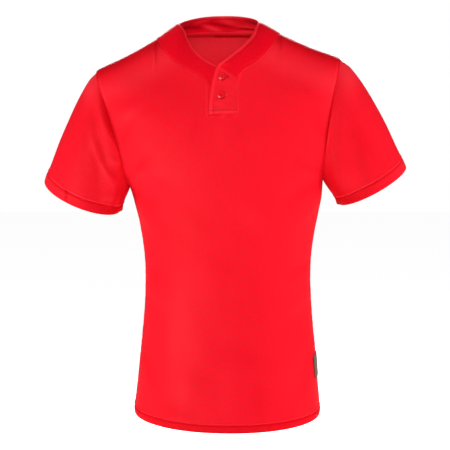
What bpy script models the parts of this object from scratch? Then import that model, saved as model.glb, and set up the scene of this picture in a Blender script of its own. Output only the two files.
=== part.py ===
"""Short-sleeved jersey with a buttoned neck placket, filled out as it is when worn.

The front faces -Y, the wearer's left is +X and up is +Z. The origin is the middle of the neck,
level with the tops of the shoulders. Sizes below are in millimetres and are made into metres
where the meshes are written.
"""

import math

import bpy
import numpy as np

MM = 0.001

# Cloth and seams
WALL = 1.6
HEM_WALL = 2.8
SEAM_GAP = 0.3
LAYER_GAP = 0.6
BODY_HEM = 15.0
SLEEVE_HEM = 20.0
HEM_STEP = 2.0
LEAST_SQUARE = 0.2
CROTCH_EASE = 0.6

# The body's level sections. The side seams are where front and back meet.
HEM_RIGHT_HEIGHT = -696.0
HEM_LEFT_HEIGHT = -699.0
HEM_FRONT_DROP = 8.5
ARMPIT_RIGHT = -278.0
ARMPIT_LEFT = -264.0
SECTION_POWER_FRONT = 2.3
SECTION_POWER_BACK = 2.5
#        height   right    left   front   back
BODY = (
    (-710.0, -157.0, 184.5, 121.0, 106.0),
    (-687.0, -156.0, 184.0, 120.5, 105.5),
    (-640.0, -150.5, 180.0, 118.5, 103.0),
    (-602.0, -146.5, 177.0, 117.0, 100.0),
    (-564.0, -142.5, 173.5, 115.0, 97.0),
    (-527.0, -138.5, 169.5, 113.0, 94.5),
    (-490.0, -135.5, 166.5, 111.0, 92.5),
    (-445.0, -134.0, 164.5, 110.5, 91.5),
    (-397.0, -136.0, 166.5, 112.5, 93.5),
    (-360.0, -141.0, 171.5, 115.0, 97.5),
    (-324.0, -148.0, 178.5, 118.0, 103.0),
    (-296.0, -155.5, 183.5, 120.0, 107.0),
    (-278.0, -162.0, 185.5, 121.0, 109.0),
    (-235.0, -170.0, 190.0, 121.0, 112.0),
    (-190.0, -180.0, 195.0, 117.5, 114.0),
    (-145.0, -195.0, 200.0, 108.0, 114.0),
    (-110.0, -207.0, 205.0, 95.0, 113.0),
    (-80.0, -215.0, 210.0, 81.0, 112.0),
    (-50.0, -219.0, 215.0, 70.0, 111.0),
    (-20.0, -219.0, 215.0, 63.0, 110.0),
    (30.0, -219.0, 215.0, 60.0, 110.0),
)

# The armholes: where the front and the back end, and how far each stands off the middle plane.
ARMHOLE_FRONT_DEPTH = 57.0
ARMHOLE_BACK_DEPTH = 63.0
ARMHOLE_ROUND = 72.0
#          height   front    back
ARMHOLE_RIGHT = (
    (-278.0, -162.0, -162.0),
    (-260.5, -167.5, -169.5),
    (-212.0, -176.5, -186.0),
    (-171.0, -189.0, -199.0),
    (-127.5, -202.0, -209.0),
    (-98.5, -211.0, -214.5),
    (-72.5, -218.0, -218.0),
)
ARMHOLE_LEFT = (
    (-264.0, 186.0, 186.0),
    (-229.0, 185.5, 192.0),
    (-178.0, 189.5, 200.0),
    (-125.0, 198.0, 206.0),
    (-77.0, 207.5, 211.0),
    (-51.0, 213.5, 213.5),
)

# The ridge of the shoulders and, between them, the level that front and back round over to.
RIDGE_ROUND_FRONT = 100.0
RIDGE_ROUND_BACK = 140.0
#       across   height
RIDGE = (
    (-218.0, -72.5),
    (-201.0, -64.0),
    (-177.5, -53.5),
    (-156.0, -43.0),
    (-136.5, -32.5),
    (-118.5, -21.7),
    (-102.5, -11.2),
    (-88.0, -0.8),
    (-72.0, 9.8),
    (-48.0, 15.0),
    (0.0, 16.5),
    (48.0, 16.5),
    (71.0, 12.0),
    (95.5, -0.5),
    (113.0, -11.0),
    (136.5, -21.7),
    (161.5, -32.4),
    (192.0, -43.0),
    (213.5, -51.0),
)

# The seam of the neck band, from the shoulder ridge to the placket, and round the back.
#          across   height
NECKLINE_RIGHT = (
    (-113.0, -18.1),
    (-104.8, -27.8),
    (-95.4, -38.2),
    (-81.8, -51.9),
    (-66.7, -62.7),
    (-50.9, -71.5),
    (-35.1, -79.9),
    (-24.7, -88.4),
    (-18.6, -99.0),
)
NECKLINE_LEFT = (
    (108.5, -8.2),
    (101.5, -15.5),
    (93.0, -24.5),
    (77.2, -43.2),
    (59.8, -56.7),
    (42.7, -66.8),
    (34.1, -74.8),
    (30.0, -83.5),
)
NECKLINE_BACK = (
    (-113.0, -18.1),
    (-94.0, -14.5),
    (-70.0, -9.5),
    (-40.0, -7.2),
    (0.0, -6.8),
    (40.0, -6.8),
    (70.0, -7.2),
    (92.0, -7.8),
    (108.5, -8.2),
)

# The free edge of the neck band. It lies on the chest in front and stands behind the neck.
#          across   height
NECK_EDGE_RIGHT = (
    (-71.6, 10.0),
    (-67.5, 6.0),
    (-62.4, 0.2),
    (-56.2, -14.7),
    (-50.4, -26.8),
    (-40.6, -38.9),
    (-26.6, -50.9),
    (-14.4, -57.7),
    (-2.8, -62.7),
)
NECK_EDGE_LEFT = (
    (69.0, 13.2),
    (65.0, 7.0),
    (57.0, -10.7),
    (42.9, -26.1),
    (22.1, -43.2),
    (-2.8, -61.6),
)
NECK_EDGE_UNDER = (
    (16.0, -76.0),
    (10.0, -72.5),
    (3.5, -68.0),
    (-2.8, -62.7),
)
#          across   depth   height
NECK_EDGE_BACK = (
    (-71.6, 0.0, 10.0),
    (-64.0, 20.0, 14.0),
    (-47.0, 34.0, 19.0),
    (-24.0, 42.0, 23.0),
    (4.0, 45.0, 24.5),
    (31.0, 42.0, 24.0),
    (51.0, 33.0, 21.5),
    (64.0, 18.0, 18.0),
    (69.0, 0.0, 13.2),
)
BAND_ROLL = 1.5

# The placket: the slit in the front is filled by the under layer and covered by the top layer.
SLIT_BOTTOM_ROW = 8
#          across   height
PLACKET_EDGE = (
    (-2.8, -61.6),
    (-5.6, -66.0),
    (-10.5, -82.0),
    (-13.9, -95.4),
    (-16.3, -110.4),
    (-18.0, -127.2),
    (-18.0, -145.0),
)
PLACKET_SEAM = (
    (30.0, -83.5),
    (31.0, -100.0),
    (31.2, -120.0),
    (31.0, -143.5),
)

# Buttons
BUTTON_WIDTH = 12.6
BUTTON_THICKNESS = 2.6
BUTTON_DISH = 0.7
BUTTON_RIM = 1.5
BUTTON_HOLE = 1.5
BUTTON_HOLE_SPACING = 3.0
#          name  across  height
BUTTONS = (
    ("button_top", 4.5, -81.0),
    ("button_bottom", 3.2, -112.4),
)

# Sleeves: the cuff's outer and inner ends, seen from the front.
CUFF_HALF_DEPTH = 54.0
SLEEVE_ROWS = 8
SLEEVE_GIRTH = 400.0
SLEEVE_LENGTH = 150.0
CAP_BULGE = {"right": 12.0, "left": 18.0}
SIDE_BULGE = 9.0
UNDER_BULGE = 2.0
CUFF_RIGHT = {"outer": (-316.0, -270.5), "inner": (-179.5, -322.5), "drop": 18.0}
CUFF_LEFT = {"outer": (336.5, -245.0), "inner": (216.0, -311.0), "drop": 9.5}

# The grids of the cloth: how many cells each stretch of a panel has.
SHOULDER_CELLS = 6
NECK_CELLS = 8
SLIT_CELLS = 3
BACK_NECK_CELLS = 12
SIDE_ROWS = 13
ARMHOLE_ROWS = 12
BAND_ROWS = 4
PLACKET_ROWS = 8

# The largest folds of the body: a soft trough or ridge from one point to another.
# A fold's depth is positive where the cloth stands out.
#        side     from across, height   to across, height   half width   depth
FOLDS = (
    ("front", -150.0, -238.0, -70.0, -330.0, 17.0, -2.6),
    ("front", -158.0, -268.0, -95.0, -372.0, 16.0, 2.2),
    ("front", 172.0, -240.0, 95.0, -315.0, 17.0, -2.4),
    ("front", 176.0, -276.0, 120.0, -372.0, 17.0, 2.0),
    ("front", -60.0, -420.0, 20.0, -600.0, 26.0, -2.2),
    ("front", 60.0, -400.0, 110.0, -620.0, 24.0, 2.4),
    ("front", -105.0, -470.0, -85.0, -650.0, 20.0, 2.4),
    ("back", -150.0, -235.0, -60.0, -320.0, 18.0, -3.0),
    ("back", 165.0, -235.0, 80.0, -330.0, 18.0, -3.0),
    ("back", -20.0, -360.0, -70.0, -600.0, 26.0, 3.0),
    ("back", 50.0, -380.0, 95.0, -620.0, 26.0, -2.8),
    ("back", -100.0, -420.0, -110.0, -640.0, 20.0, -2.4),
)

# The largest folds of the sleeves, at a share of the way round from the armpit by the front,
# and at a share of the way from the armhole to the cuff.
#        side     from round, along   to round, along   half width   depth
SLEEVE_FOLDS = (
    ("right", 0.20, 0.10, 0.08, 0.85, 15.0, 4.0),
    ("right", 0.30, 0.12, 0.16, 0.95, 13.0, -3.4),
    ("right", 0.36, 0.25, 0.27, 0.95, 14.0, 2.2),
    ("left", 0.22, 0.12, 0.10, 0.90, 15.0, 3.2),
    ("left", 0.32, 0.15, 0.20, 0.95, 13.0, -2.6),
    ("right", 0.80, 0.10, 0.92, 0.85, 15.0, 3.6),
    ("left", 0.79, 0.10, 0.91, 0.85, 15.0, 3.6),
)

# Neck tape inside the back, and the label at the wearer's left side seam
TAPE_WALL = 1.0
TAPE_HALF_WIDTH = 4.0
LABEL_TOP = -584.5
LABEL_BOTTOM = -625.0
LABEL_REACH = 33.0
LABEL_WALL = 1.0
LABEL_ROWS = 3
LABEL_INSET = 0.08


def smooth(at, xs, ys):
    """A cubic through the points (xs, ys), held flat past its ends."""
    xs = np.asarray(xs, float)
    ys = np.asarray(ys, float)
    at = np.clip(at, xs[0], xs[-1])
    slopes = np.gradient(ys, xs)
    k = np.clip(np.searchsorted(xs, at) - 1, 0, len(xs) - 2)
    step = xs[k + 1] - xs[k]
    t = (at - xs[k]) / step
    start = (1 + 2 * t) * (1 - t) ** 2 * ys[k] + t * (1 - t) ** 2 * step * slopes[k]
    end = t * t * (3 - 2 * t) * ys[k + 1] + t * t * (t - 1) * step * slopes[k + 1]
    return start + end


def column(table, index):
    return [row[index] for row in table]


def along(points, shares):
    """Points at the given shares of the length of a smooth curve through a list of points."""
    points = np.asarray(points, float)
    steps = np.linalg.norm(np.diff(points, axis=0), axis=1)
    length = np.concatenate([[0], np.cumsum(steps)])
    at = np.asarray(shares, float) * length[-1]
    return np.stack([smooth(at, length, points[:, k]) for k in range(points.shape[1])], -1)


def ridge(across):
    return smooth(across, column(RIDGE, 0), column(RIDGE, 1))


def rounding(share):
    """A quarter circle from 0 to 1, for a share of the way from 0 to 1."""
    share = np.clip(share, 0, 1)
    return np.sqrt(np.clip(1 - (1 - share) ** 2, 0, 1))


def edge_across(height, side, face):
    """Where a panel ends on one side: its side seam, then its armhole."""
    right = side == "right"
    table = ARMHOLE_RIGHT if right else ARMHOLE_LEFT
    seam = smooth(height, column(BODY, 0), column(BODY, 1 if right else 2))
    # The seam meets the armhole's foot within the last stretch below it.
    foot = table[0]
    at_foot = smooth(foot[0], column(BODY, 0), column(BODY, 1 if right else 2))
    near = np.clip(1 - (foot[0] - height) / 60, 0, 1) ** 2
    seam = seam + (foot[1] - at_foot) * near
    armhole = smooth(height, column(table, 0), column(table, 1 if face == "front" else 2))
    return np.where(height < foot[0], seam, armhole)


def edge_depth(height, side, face):
    """How far the panel's edge stands off the middle plane."""
    foot = (ARMHOLE_RIGHT if side == "right" else ARMHOLE_LEFT)[0][0]
    depth = ARMHOLE_FRONT_DEPTH if face == "front" else ARMHOLE_BACK_DEPTH
    return depth * rounding((height - foot) / ARMHOLE_ROUND)


def fold_height(across, height, face):
    total = np.zeros(np.broadcast(across, height).shape)
    for side, x0, z0, x1, z1, width, depth in FOLDS:
        if side == face:
            length = math.hypot(x1 - x0, z1 - z0)
            ux = (x1 - x0) / length
            uz = (z1 - z0) / length
            run = (across - x0) * ux + (height - z0) * uz
            off = (across - x0) * uz - (height - z0) * ux
            share = np.clip(run / length, 0, 1)
            past = run - share * length
            taper = np.sin(math.pi * (0.12 + 0.76 * share))
            total += depth * taper * np.exp(-(off**2 + past**2) / width**2)
    return total


def body_depth(across, height, face):
    """How far the front or the back stands off the middle plane, at a place seen from the front."""
    across = np.asarray(across, float)
    height = np.asarray(height, float)
    front = face == "front"
    power = SECTION_POWER_FRONT if front else SECTION_POWER_BACK
    full = smooth(height, column(BODY, 0), column(BODY, 3 if front else 4))
    right = edge_across(height, "right", face)
    left = edge_across(height, "left", face)
    middle = (right + left) / 2
    depth_right = edge_depth(height, "right", face)
    depth_left = edge_depth(height, "left", face)
    on_left = across > middle
    edge = np.where(on_left, left, right)
    depth = np.where(on_left, depth_left, depth_right)
    reach = np.abs(edge - middle) / (1 - np.clip(depth / full, 0, 0.95) ** power) ** (1 / power)
    share = np.clip(np.abs(across - middle) / reach, 0, 1)
    section = full * np.clip(1 - share**power, 0, 1) ** (1 / power)
    over = RIDGE_ROUND_FRONT if front else RIDGE_ROUND_BACK
    rise = rounding((ridge(across) - height) / over)
    return section * rise + fold_height(across, height, face) * np.clip(section / 40, 0, 1) * rise


def on_body(across, height, face):
    depth = body_depth(across, height, face)
    y = -depth if face == "front" else depth
    return np.stack(np.broadcast_arrays(np.asarray(across, float), y, height), -1)


def along_body(points, shares, face):
    """Places at the given shares of the length of a curve drawn on the front or the back."""
    dense = along(points, np.linspace(0, 1, 161))
    dense[0] = points[0]
    dense[-1] = points[-1]
    steps = np.linalg.norm(np.diff(on_body(dense[:, 0], dense[:, 1], face), axis=0), axis=1)
    length = np.concatenate([[0], np.cumsum(steps)])
    at = np.asarray(shares, float) * length[-1]
    return np.stack([np.interp(at, length, dense[:, k]) for k in (0, 1)], -1)


def armpit(share):
    """The height of the row between the armpits, from the right (0) to the left (1)."""
    return ARMPIT_RIGHT + (ARMPIT_LEFT - ARMPIT_RIGHT) * share


def rows_up():
    """Shares of the way from the armpit row to the top row, closer at both ends."""
    w = np.arange(ARMHOLE_ROWS + 1) / ARMHOLE_ROWS
    return (1 - np.cos(math.pi * w**1.11)) / 2


def top_row(face):
    """The top edge of a panel as (across, height), from the right shoulder to the left."""
    cells = np.arange(SHOULDER_CELLS + 1) / SHOULDER_CELLS
    tip_right = ARMHOLE_RIGHT[-1][1]
    tip_left = ARMHOLE_LEFT[-1][1]
    across_right = tip_right + (NECKLINE_RIGHT[0][0] - tip_right) * cells
    across_left = NECKLINE_LEFT[0][0] + (tip_left - NECKLINE_LEFT[0][0]) * cells
    shoulder_right = np.stack([across_right, ridge(across_right)], -1)
    shoulder_left = np.stack([across_left, ridge(across_left)], -1)
    if face == "back":
        shares = np.arange(BACK_NECK_CELLS + 1) / BACK_NECK_CELLS
        neck = along_body(NECKLINE_BACK, shares, "back")
    else:
        shares = np.arange(NECK_CELLS + 1) / NECK_CELLS
        neck_right = along_body(NECKLINE_RIGHT, shares, "front")
        neck_left = along_body(NECKLINE_LEFT[::-1], shares, "front")
        across_slit = np.arange(1, SLIT_CELLS) / SLIT_CELLS
        slit = neck_right[-1] + (neck_left[0] - neck_right[-1]) * across_slit[:, None]
        neck = np.concatenate([neck_right, slit, neck_left])
    neck[0] = shoulder_right[-1]
    neck[-1] = shoulder_left[0]
    return np.concatenate([shoulder_right[:-1], neck, shoulder_left[1:]])


def lower_heights(share):
    """The heights of the rows from the hem to the armpit row, at a share from right to left."""
    bow = HEM_FRONT_DROP * (1 - (2 * share - 1) ** 2)
    hem = HEM_RIGHT_HEIGHT + (HEM_LEFT_HEIGHT - HEM_RIGHT_HEIGHT) * share - bow
    start = BODY_HEM + HEM_STEP
    steps = (np.arange(SIDE_ROWS) + 1) / SIDE_ROWS
    rise = armpit(share) - hem
    return hem + np.concatenate([[0.0, BODY_HEM, start], start + (rise - start) * steps])


def even_row(heights, face, count):
    """Places across a level row of a panel that split its length into equal cells."""
    angle = np.linspace(-math.pi / 2, math.pi / 2, 241)
    share = (np.sin(angle) + 1) / 2
    height = heights(share)
    right = float(edge_across(height[0], "right", face))
    left = float(edge_across(height[-1], "left", face))
    across = right + (left - right) * share
    dense = on_body(across, height, face)
    steps = np.linalg.norm(np.diff(dense, axis=0), axis=1)
    length = np.concatenate([[0], np.cumsum(steps)])
    return np.interp(np.arange(count + 1) / count * length[-1], length, share)


def panel(face):
    """The front or back as a grid of points, rows from the hem up, columns from right to left."""
    top = top_row(face)
    count = len(top) - 1
    tips = top[[0, -1]]
    rows = []
    lower = 3 + SIDE_ROWS
    bow = 1.0 if face == "front" else 0.5

    def lower_row(index):
        def heights(share):
            values = [lower_heights(s)[index] for s in share]
            return np.array(values)

        return heights

    for index in range(lower):
        heights = lower_row(index)
        shares = even_row(heights, face, count)
        height = heights(shares) + (1 - bow) * HEM_FRONT_DROP * (1 - (2 * shares - 1) ** 2) * (
            1 - index / (lower - 1)
        )
        right = float(edge_across(height[0], "right", face))
        left = float(edge_across(height[-1], "left", face))
        rows.append(on_body(right + (left - right) * shares, height, face))
    last_shares = shares
    foot = armpit(last_shares)
    for rise in rows_up()[1:]:
        ease = min(1.0, rise / 0.6)
        weight = ease * ease * (3 - 2 * ease)
        edge_right = ARMPIT_RIGHT + (tips[0, 1] - ARMPIT_RIGHT) * rise
        edge_left = ARMPIT_LEFT + (tips[1, 1] - ARMPIT_LEFT) * rise
        right = float(edge_across(edge_right, "right", face))
        left = float(edge_across(edge_left, "left", face))
        even = right + (left - right) * last_shares
        neck_right = top[SHOULDER_CELLS, 0]
        neck_left = top[-1 - SHOULDER_CELLS, 0]
        fanned = top[:, 0].copy()
        out_right = fanned < neck_right
        out_left = fanned > neck_left
        share_right = (fanned - neck_right) / (tips[0, 0] - neck_right)
        share_left = (fanned - neck_left) / (tips[1, 0] - neck_left)
        fanned = np.where(out_right, neck_right + (right - neck_right) * share_right, fanned)
        fanned = np.where(out_left, neck_left + (left - neck_left) * share_left, fanned)
        across = even + (fanned - even) * weight
        across[0] = right
        across[-1] = left
        height = foot + (top[:, 1] - foot) * rise
        row = on_body(across, height, face)
        if rise == 1.0:
            shoulder = np.abs(ridge(across) - height) < 1e-6
            row[shoulder, 1] = 0.0
        rows.append(row)
    return np.array(rows)


def armhole_ring(front, back, side):
    """The seam of a sleeve: from the armpit up the front, over the shoulder and down the back."""
    edge = 0 if side == "right" else -1
    foot = len(front) - 1 - ARMHOLE_ROWS
    up = front[foot:, edge]
    down = back[foot:, edge][::-1]
    return np.concatenate([up, down[1:-1]])


def cuff_ring(side, count):
    """The edge of a cuff: an ellipse that hangs lower at the front."""
    cuff = CUFF_RIGHT if side == "right" else CUFF_LEFT
    outer = np.array([cuff["outer"][0], 0.0, cuff["outer"][1]])
    inner = np.array([cuff["inner"][0], 0.0, cuff["inner"][1]])
    middle = (outer + inner) / 2
    half = (outer - inner) / 2
    round_angle = 2 * math.pi * np.arange(count) / count
    up = -np.cos(round_angle)
    out = np.sin(round_angle)
    forward = np.stack([np.zeros(count), -CUFF_HALF_DEPTH * out, -cuff["drop"] * out], -1)
    return middle + up[:, None] * half + forward


def sleeve_fold(side, turn, share):
    """How far the folds move a sleeve's skin out."""
    total = np.zeros(np.broadcast(turn, share).shape)
    for name, t0, s0, t1, s1, width, depth in SLEEVE_FOLDS:
        if name == side:
            x = (turn - t0) * SLEEVE_GIRTH
            y = (share - s0) * SLEEVE_LENGTH
            ux = (t1 - t0) * SLEEVE_GIRTH
            uy = (s1 - s0) * SLEEVE_LENGTH
            size = math.hypot(ux, uy)
            run = (x * ux + y * uy) / size
            off = (x * uy - y * ux) / size
            part = np.clip(run / size, 0, 1)
            past = run - part * size
            taper = np.sin(math.pi * (0.1 + 0.7 * part))
            total += depth * taper * np.exp(-(off**2 + past**2) / width**2)
    return total


def sleeve(ring, side):
    """A sleeve as a grid of points, rows from the armhole to the cuff, columns round it."""
    count = len(ring)
    cuff = cuff_ring(side, count)
    length = np.linalg.norm(cuff - ring, axis=1)
    hem_at = 1 - SLEEVE_HEM / length
    step_at = 1 - (SLEEVE_HEM + HEM_STEP) / length
    shares = [step_at * k / SLEEVE_ROWS for k in range(SLEEVE_ROWS + 1)]
    shares += [hem_at, np.ones(count)]
    turn = np.arange(count) / count
    top = (1 - np.cos(2 * math.pi * turn)) / 2
    flank = np.abs(np.sin(2 * math.pi * turn))
    cap = CAP_BULGE[side] - UNDER_BULGE
    bulge = UNDER_BULGE + cap * top**2 + (SIDE_BULGE - UNDER_BULGE) * flank
    axis = cuff.mean(axis=0) - ring.mean(axis=0)
    axis /= np.linalg.norm(axis)
    rows = []
    for share in shares:
        points = ring + (cuff - ring) * share[:, None]
        spine = ring.mean(axis=0) + (cuff.mean(axis=0) - ring.mean(axis=0)) * share[:, None]
        out = points - spine
        out -= (out @ axis)[:, None] * axis
        out /= np.linalg.norm(out, axis=1)[:, None]
        swell = share**0.7 * (1 - share) ** 1.3 * 2.4
        still = np.minimum(1, 6 * share) * np.minimum(1, 5 * (1 - share))
        swell = swell * bulge + sleeve_fold(side, turn, share) * still
        rows.append(points + out * swell[:, None])
    return np.array(rows)


def band(front, back):
    """The neck band, rows from its seam to its free edge, columns from the end that lies under."""
    slit_start = SHOULDER_CELLS + NECK_CELLS
    slit_end = slit_start + SLIT_CELLS
    top = front[-1]
    seam_under = top[slit_start : slit_end + 1][::-1]
    seam_right = top[SHOULDER_CELLS : slit_start + 1][::-1]
    seam_back = back[-1][SHOULDER_CELLS : SHOULDER_CELLS + BACK_NECK_CELLS + 1]
    seam_left = top[slit_end : slit_end + NECK_CELLS + 1][::-1]
    shares = np.arange(NECK_CELLS + 1) / NECK_CELLS
    back_shares = np.arange(BACK_NECK_CELLS + 1) / BACK_NECK_CELLS
    slit_shares = np.arange(SLIT_CELLS + 1) / SLIT_CELLS

    def on_chest(seam, edge, rolls):
        rows = [seam.copy()]
        for q in np.arange(1, BAND_ROWS + 1) / BAND_ROWS:
            place = seam[:, [0, 2]] + (edge - seam[:, [0, 2]]) * q
            points = on_body(place[:, 0], place[:, 1], "front")
            points[:, 1] -= BAND_ROLL * math.sin(math.pi * q) * rolls
            rows.append(points)
        return rows

    # The roll fades towards the placket, where the two ends lie flat on each other.
    roll_right = np.clip(shares / 0.5, 0, 1)
    roll_left = roll_right[::-1]
    edge_right = along_body(NECK_EDGE_RIGHT[::-1], shares, "front")
    edge_left = along_body(NECK_EDGE_LEFT, shares, "front")
    edge_back = along(NECK_EDGE_BACK, back_shares)
    edge_under = along(NECK_EDGE_UNDER, slit_shares)
    under = on_chest(seam_under, edge_under, 0.0 * slit_shares)
    right = on_chest(seam_right, edge_right, roll_right)
    left = on_chest(seam_left, edge_left, roll_left)
    rows = []
    for index, q in enumerate(np.arange(BAND_ROWS + 1) / BAND_ROWS):
        behind = seam_back + (edge_back - seam_back) * q
        behind[1:-1, 1] += BAND_ROLL * math.sin(math.pi * q)
        stretches = (under[index][:-1], right[index], behind[1:-1], left[index])
        rows.append(np.concatenate(stretches))
    grid = np.array(rows)
    # At the shoulder ridge the front and back stretches meet on the ridge itself.
    first = SLIT_CELLS + NECK_CELLS
    for index in (first, first + BACK_NECK_CELLS):
        grid[:, index, 1] = 0.0
        grid[1:-1, index, 2] = ridge(grid[1:-1, index, 0]) + BAND_ROLL / 2
    return grid


def band_lift(columns):
    """How far each column of the band is moved out: its last end lies over its first."""
    start = columns - 1 - NECK_CELLS
    share = np.clip((np.arange(columns) - start) / NECK_CELLS, 0, 1)
    ramp = np.clip((share - 0.25) / 0.35, 0, 1)
    return ramp * ramp * (3 - 2 * ramp) * (WALL + LAYER_GAP)


def over_placket(neck_band):
    """The placket's top layer, rows up from its foot, columns from its free edge to its seam."""
    top = neck_band[:, -1][::-1]
    across = np.arange(BAND_ROWS + 1) / BAND_ROWS
    shares = np.arange(PLACKET_ROWS) / PLACKET_ROWS
    edge = along(PLACKET_EDGE[::-1], shares)
    seam = along(PLACKET_SEAM[::-1], shares)
    place = edge[:, None] + (seam - edge)[:, None] * across[None, :, None]
    rows = on_body(place[..., 0], place[..., 1], "front")
    return np.concatenate([rows, top[None]])


def cells_of(grid, wrap=False, hole=None):
    """Corner numbers of each cell of a grid, leaving out the cells of a hole."""
    rows, columns = grid.shape[:2]
    cells = []
    for r in range(rows - 1):
        for c in range(columns if wrap else columns - 1):
            d = (c + 1) % columns
            if hole is None or not hole(r, c):
                cells.append(
                    (r * columns + c, r * columns + d, (r + 1) * columns + d, (r + 1) * columns + c)
                )
    return cells


class Piece:
    """A piece of cloth: a skin of cells, which gets a thickness under it."""

    def __init__(self, name, grid, outward_first, wrap=False, hole=None):
        self.name = name
        self.grid = grid
        self.points = grid.reshape(-1, 3)
        cells = cells_of(grid, wrap, hole)
        self.cells = cells if outward_first else [cell[::-1] for cell in cells]
        used = sorted({index for cell in self.cells for index in cell})
        self.used = used

    def cell_normals(self):
        corners = self.points[np.array(self.cells)]
        return np.cross(corners[:, 2] - corners[:, 0], corners[:, 3] - corners[:, 1])

    def inward(self):
        """How each edge point moves, within the skin, so that a seam opens by its gap."""
        normals = self.cell_normals()
        normals /= np.linalg.norm(normals, axis=1)[:, None]
        edges = {}
        for cell, normal in zip(self.cells, normals):
            for k in range(4):
                a, b = cell[k], cell[(k + 1) % 4]
                if (b, a) in edges:
                    edges[(b, a)] = None
                else:
                    edges[(a, b)] = normal
        moves = {}
        self.border = [edge for edge, normal in edges.items() if normal is not None]
        for a, b in self.border:
            run = self.points[b] - self.points[a]
            way = np.cross(edges[(a, b)], run)
            way /= np.linalg.norm(way)
            for index in (a, b):
                # Half the gap is measured square to the plane that splits the seam's angle.
                split = np.cross(self.normals[index], run)
                split /= np.linalg.norm(split)
                moves.setdefault(index, []).append((way, abs(way @ split)))
        shift = np.zeros_like(self.points)
        for index, ways in moves.items():
            total = np.mean([way for way, _ in ways], axis=0)
            square = min(square for _, square in ways)
            square = max(LEAST_SQUARE, square)
            size = SEAM_GAP / 2 / max(0.4, total @ total) / square
            size *= 1 + CROTCH_EASE * (1 - square) ** 2
            shift[index] = total * size
        return shift


def key(point):
    return tuple(np.round(point, 2))


def add_normals(sums, parts):
    """Adds, at every place that the parts hold a sum for, that sum made one long."""
    for part in parts:
        for place, total in part.items():
            sums[place] = sums.get(place, 0) + total / np.linalg.norm(total)
    return sums


def shared_normals(groups):
    """Each point's normal: within a group the pieces count the same, and then so do the groups."""
    whole = []
    for pieces in groups:
        own = []
        for piece in pieces:
            sums = {}
            for cell, normal in zip(piece.cells, piece.cell_normals()):
                for index in cell:
                    place = key(piece.points[index])
                    sums[place] = sums.get(place, 0) + normal
            own.append(sums)
        whole.append(add_normals({}, own))
    joined = add_normals({}, whole)
    for piece in [piece for pieces in groups for piece in pieces]:
        normals = np.zeros_like(piece.points)
        for index in piece.used:
            total = joined[key(piece.points[index])]
            normals[index] = total / np.linalg.norm(total)
        piece.normals = normals


def new_material(name, colour, roughness, metallic=0.0):
    material = bpy.data.materials.new(name)
    material.use_nodes = True
    shader = material.node_tree.nodes["Principled BSDF"]
    shader.inputs["Base Color"].default_value = (*colour, 1)
    shader.inputs["Roughness"].default_value = roughness
    shader.inputs["Metallic"].default_value = metallic
    return material


def new_object(name, vertices, faces, material, collection):
    mesh = bpy.data.meshes.new(name)
    mesh.from_pydata([tuple(v) for v in np.asarray(vertices) * MM], [], faces)
    mesh.validate()
    mesh.shade_smooth()
    mesh.set_sharp_from_angle(angle=math.radians(40))
    mesh.materials.append(material)
    obj = bpy.data.objects.new(name, mesh)
    collection.objects.link(obj)
    return obj


def build_wall(piece, thickness, material, collection, lift=0.0):
    """The closed solid of a piece: its skin, a second skin under it, and the edges between."""
    outer = piece.points + piece.inward()
    outer += piece.normals * np.asarray(lift, float).reshape(-1, 1)
    inner = outer - piece.normals * np.asarray(thickness, float).reshape(-1, 1)
    new_index = {old: k for k, old in enumerate(piece.used)}
    count = len(piece.used)
    faces = []
    for a, b, c, d in piece.cells:
        a, b, c, d = (new_index[i] for i in (a, b, c, d))
        faces += [(a, b, c), (a, c, d)]
        faces += [(count + c, count + b, count + a), (count + d, count + c, count + a)]
    for a, b in piece.border:
        a, b = new_index[a], new_index[b]
        faces += [(b, a, count + a), (b, count + a, count + b)]
    vertices = np.concatenate([outer[piece.used], inner[piece.used]])
    return new_object(piece.name, vertices, faces, material, collection)


def row_thickness(grid, thick_rows, thick, thin):
    """One thickness for each point of a grid, thicker in the rows of a hem."""
    rows, columns = grid.shape[:2]
    values = np.full((rows, columns), thin)
    values[thick_rows] = thick
    return values.reshape(-1)


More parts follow.
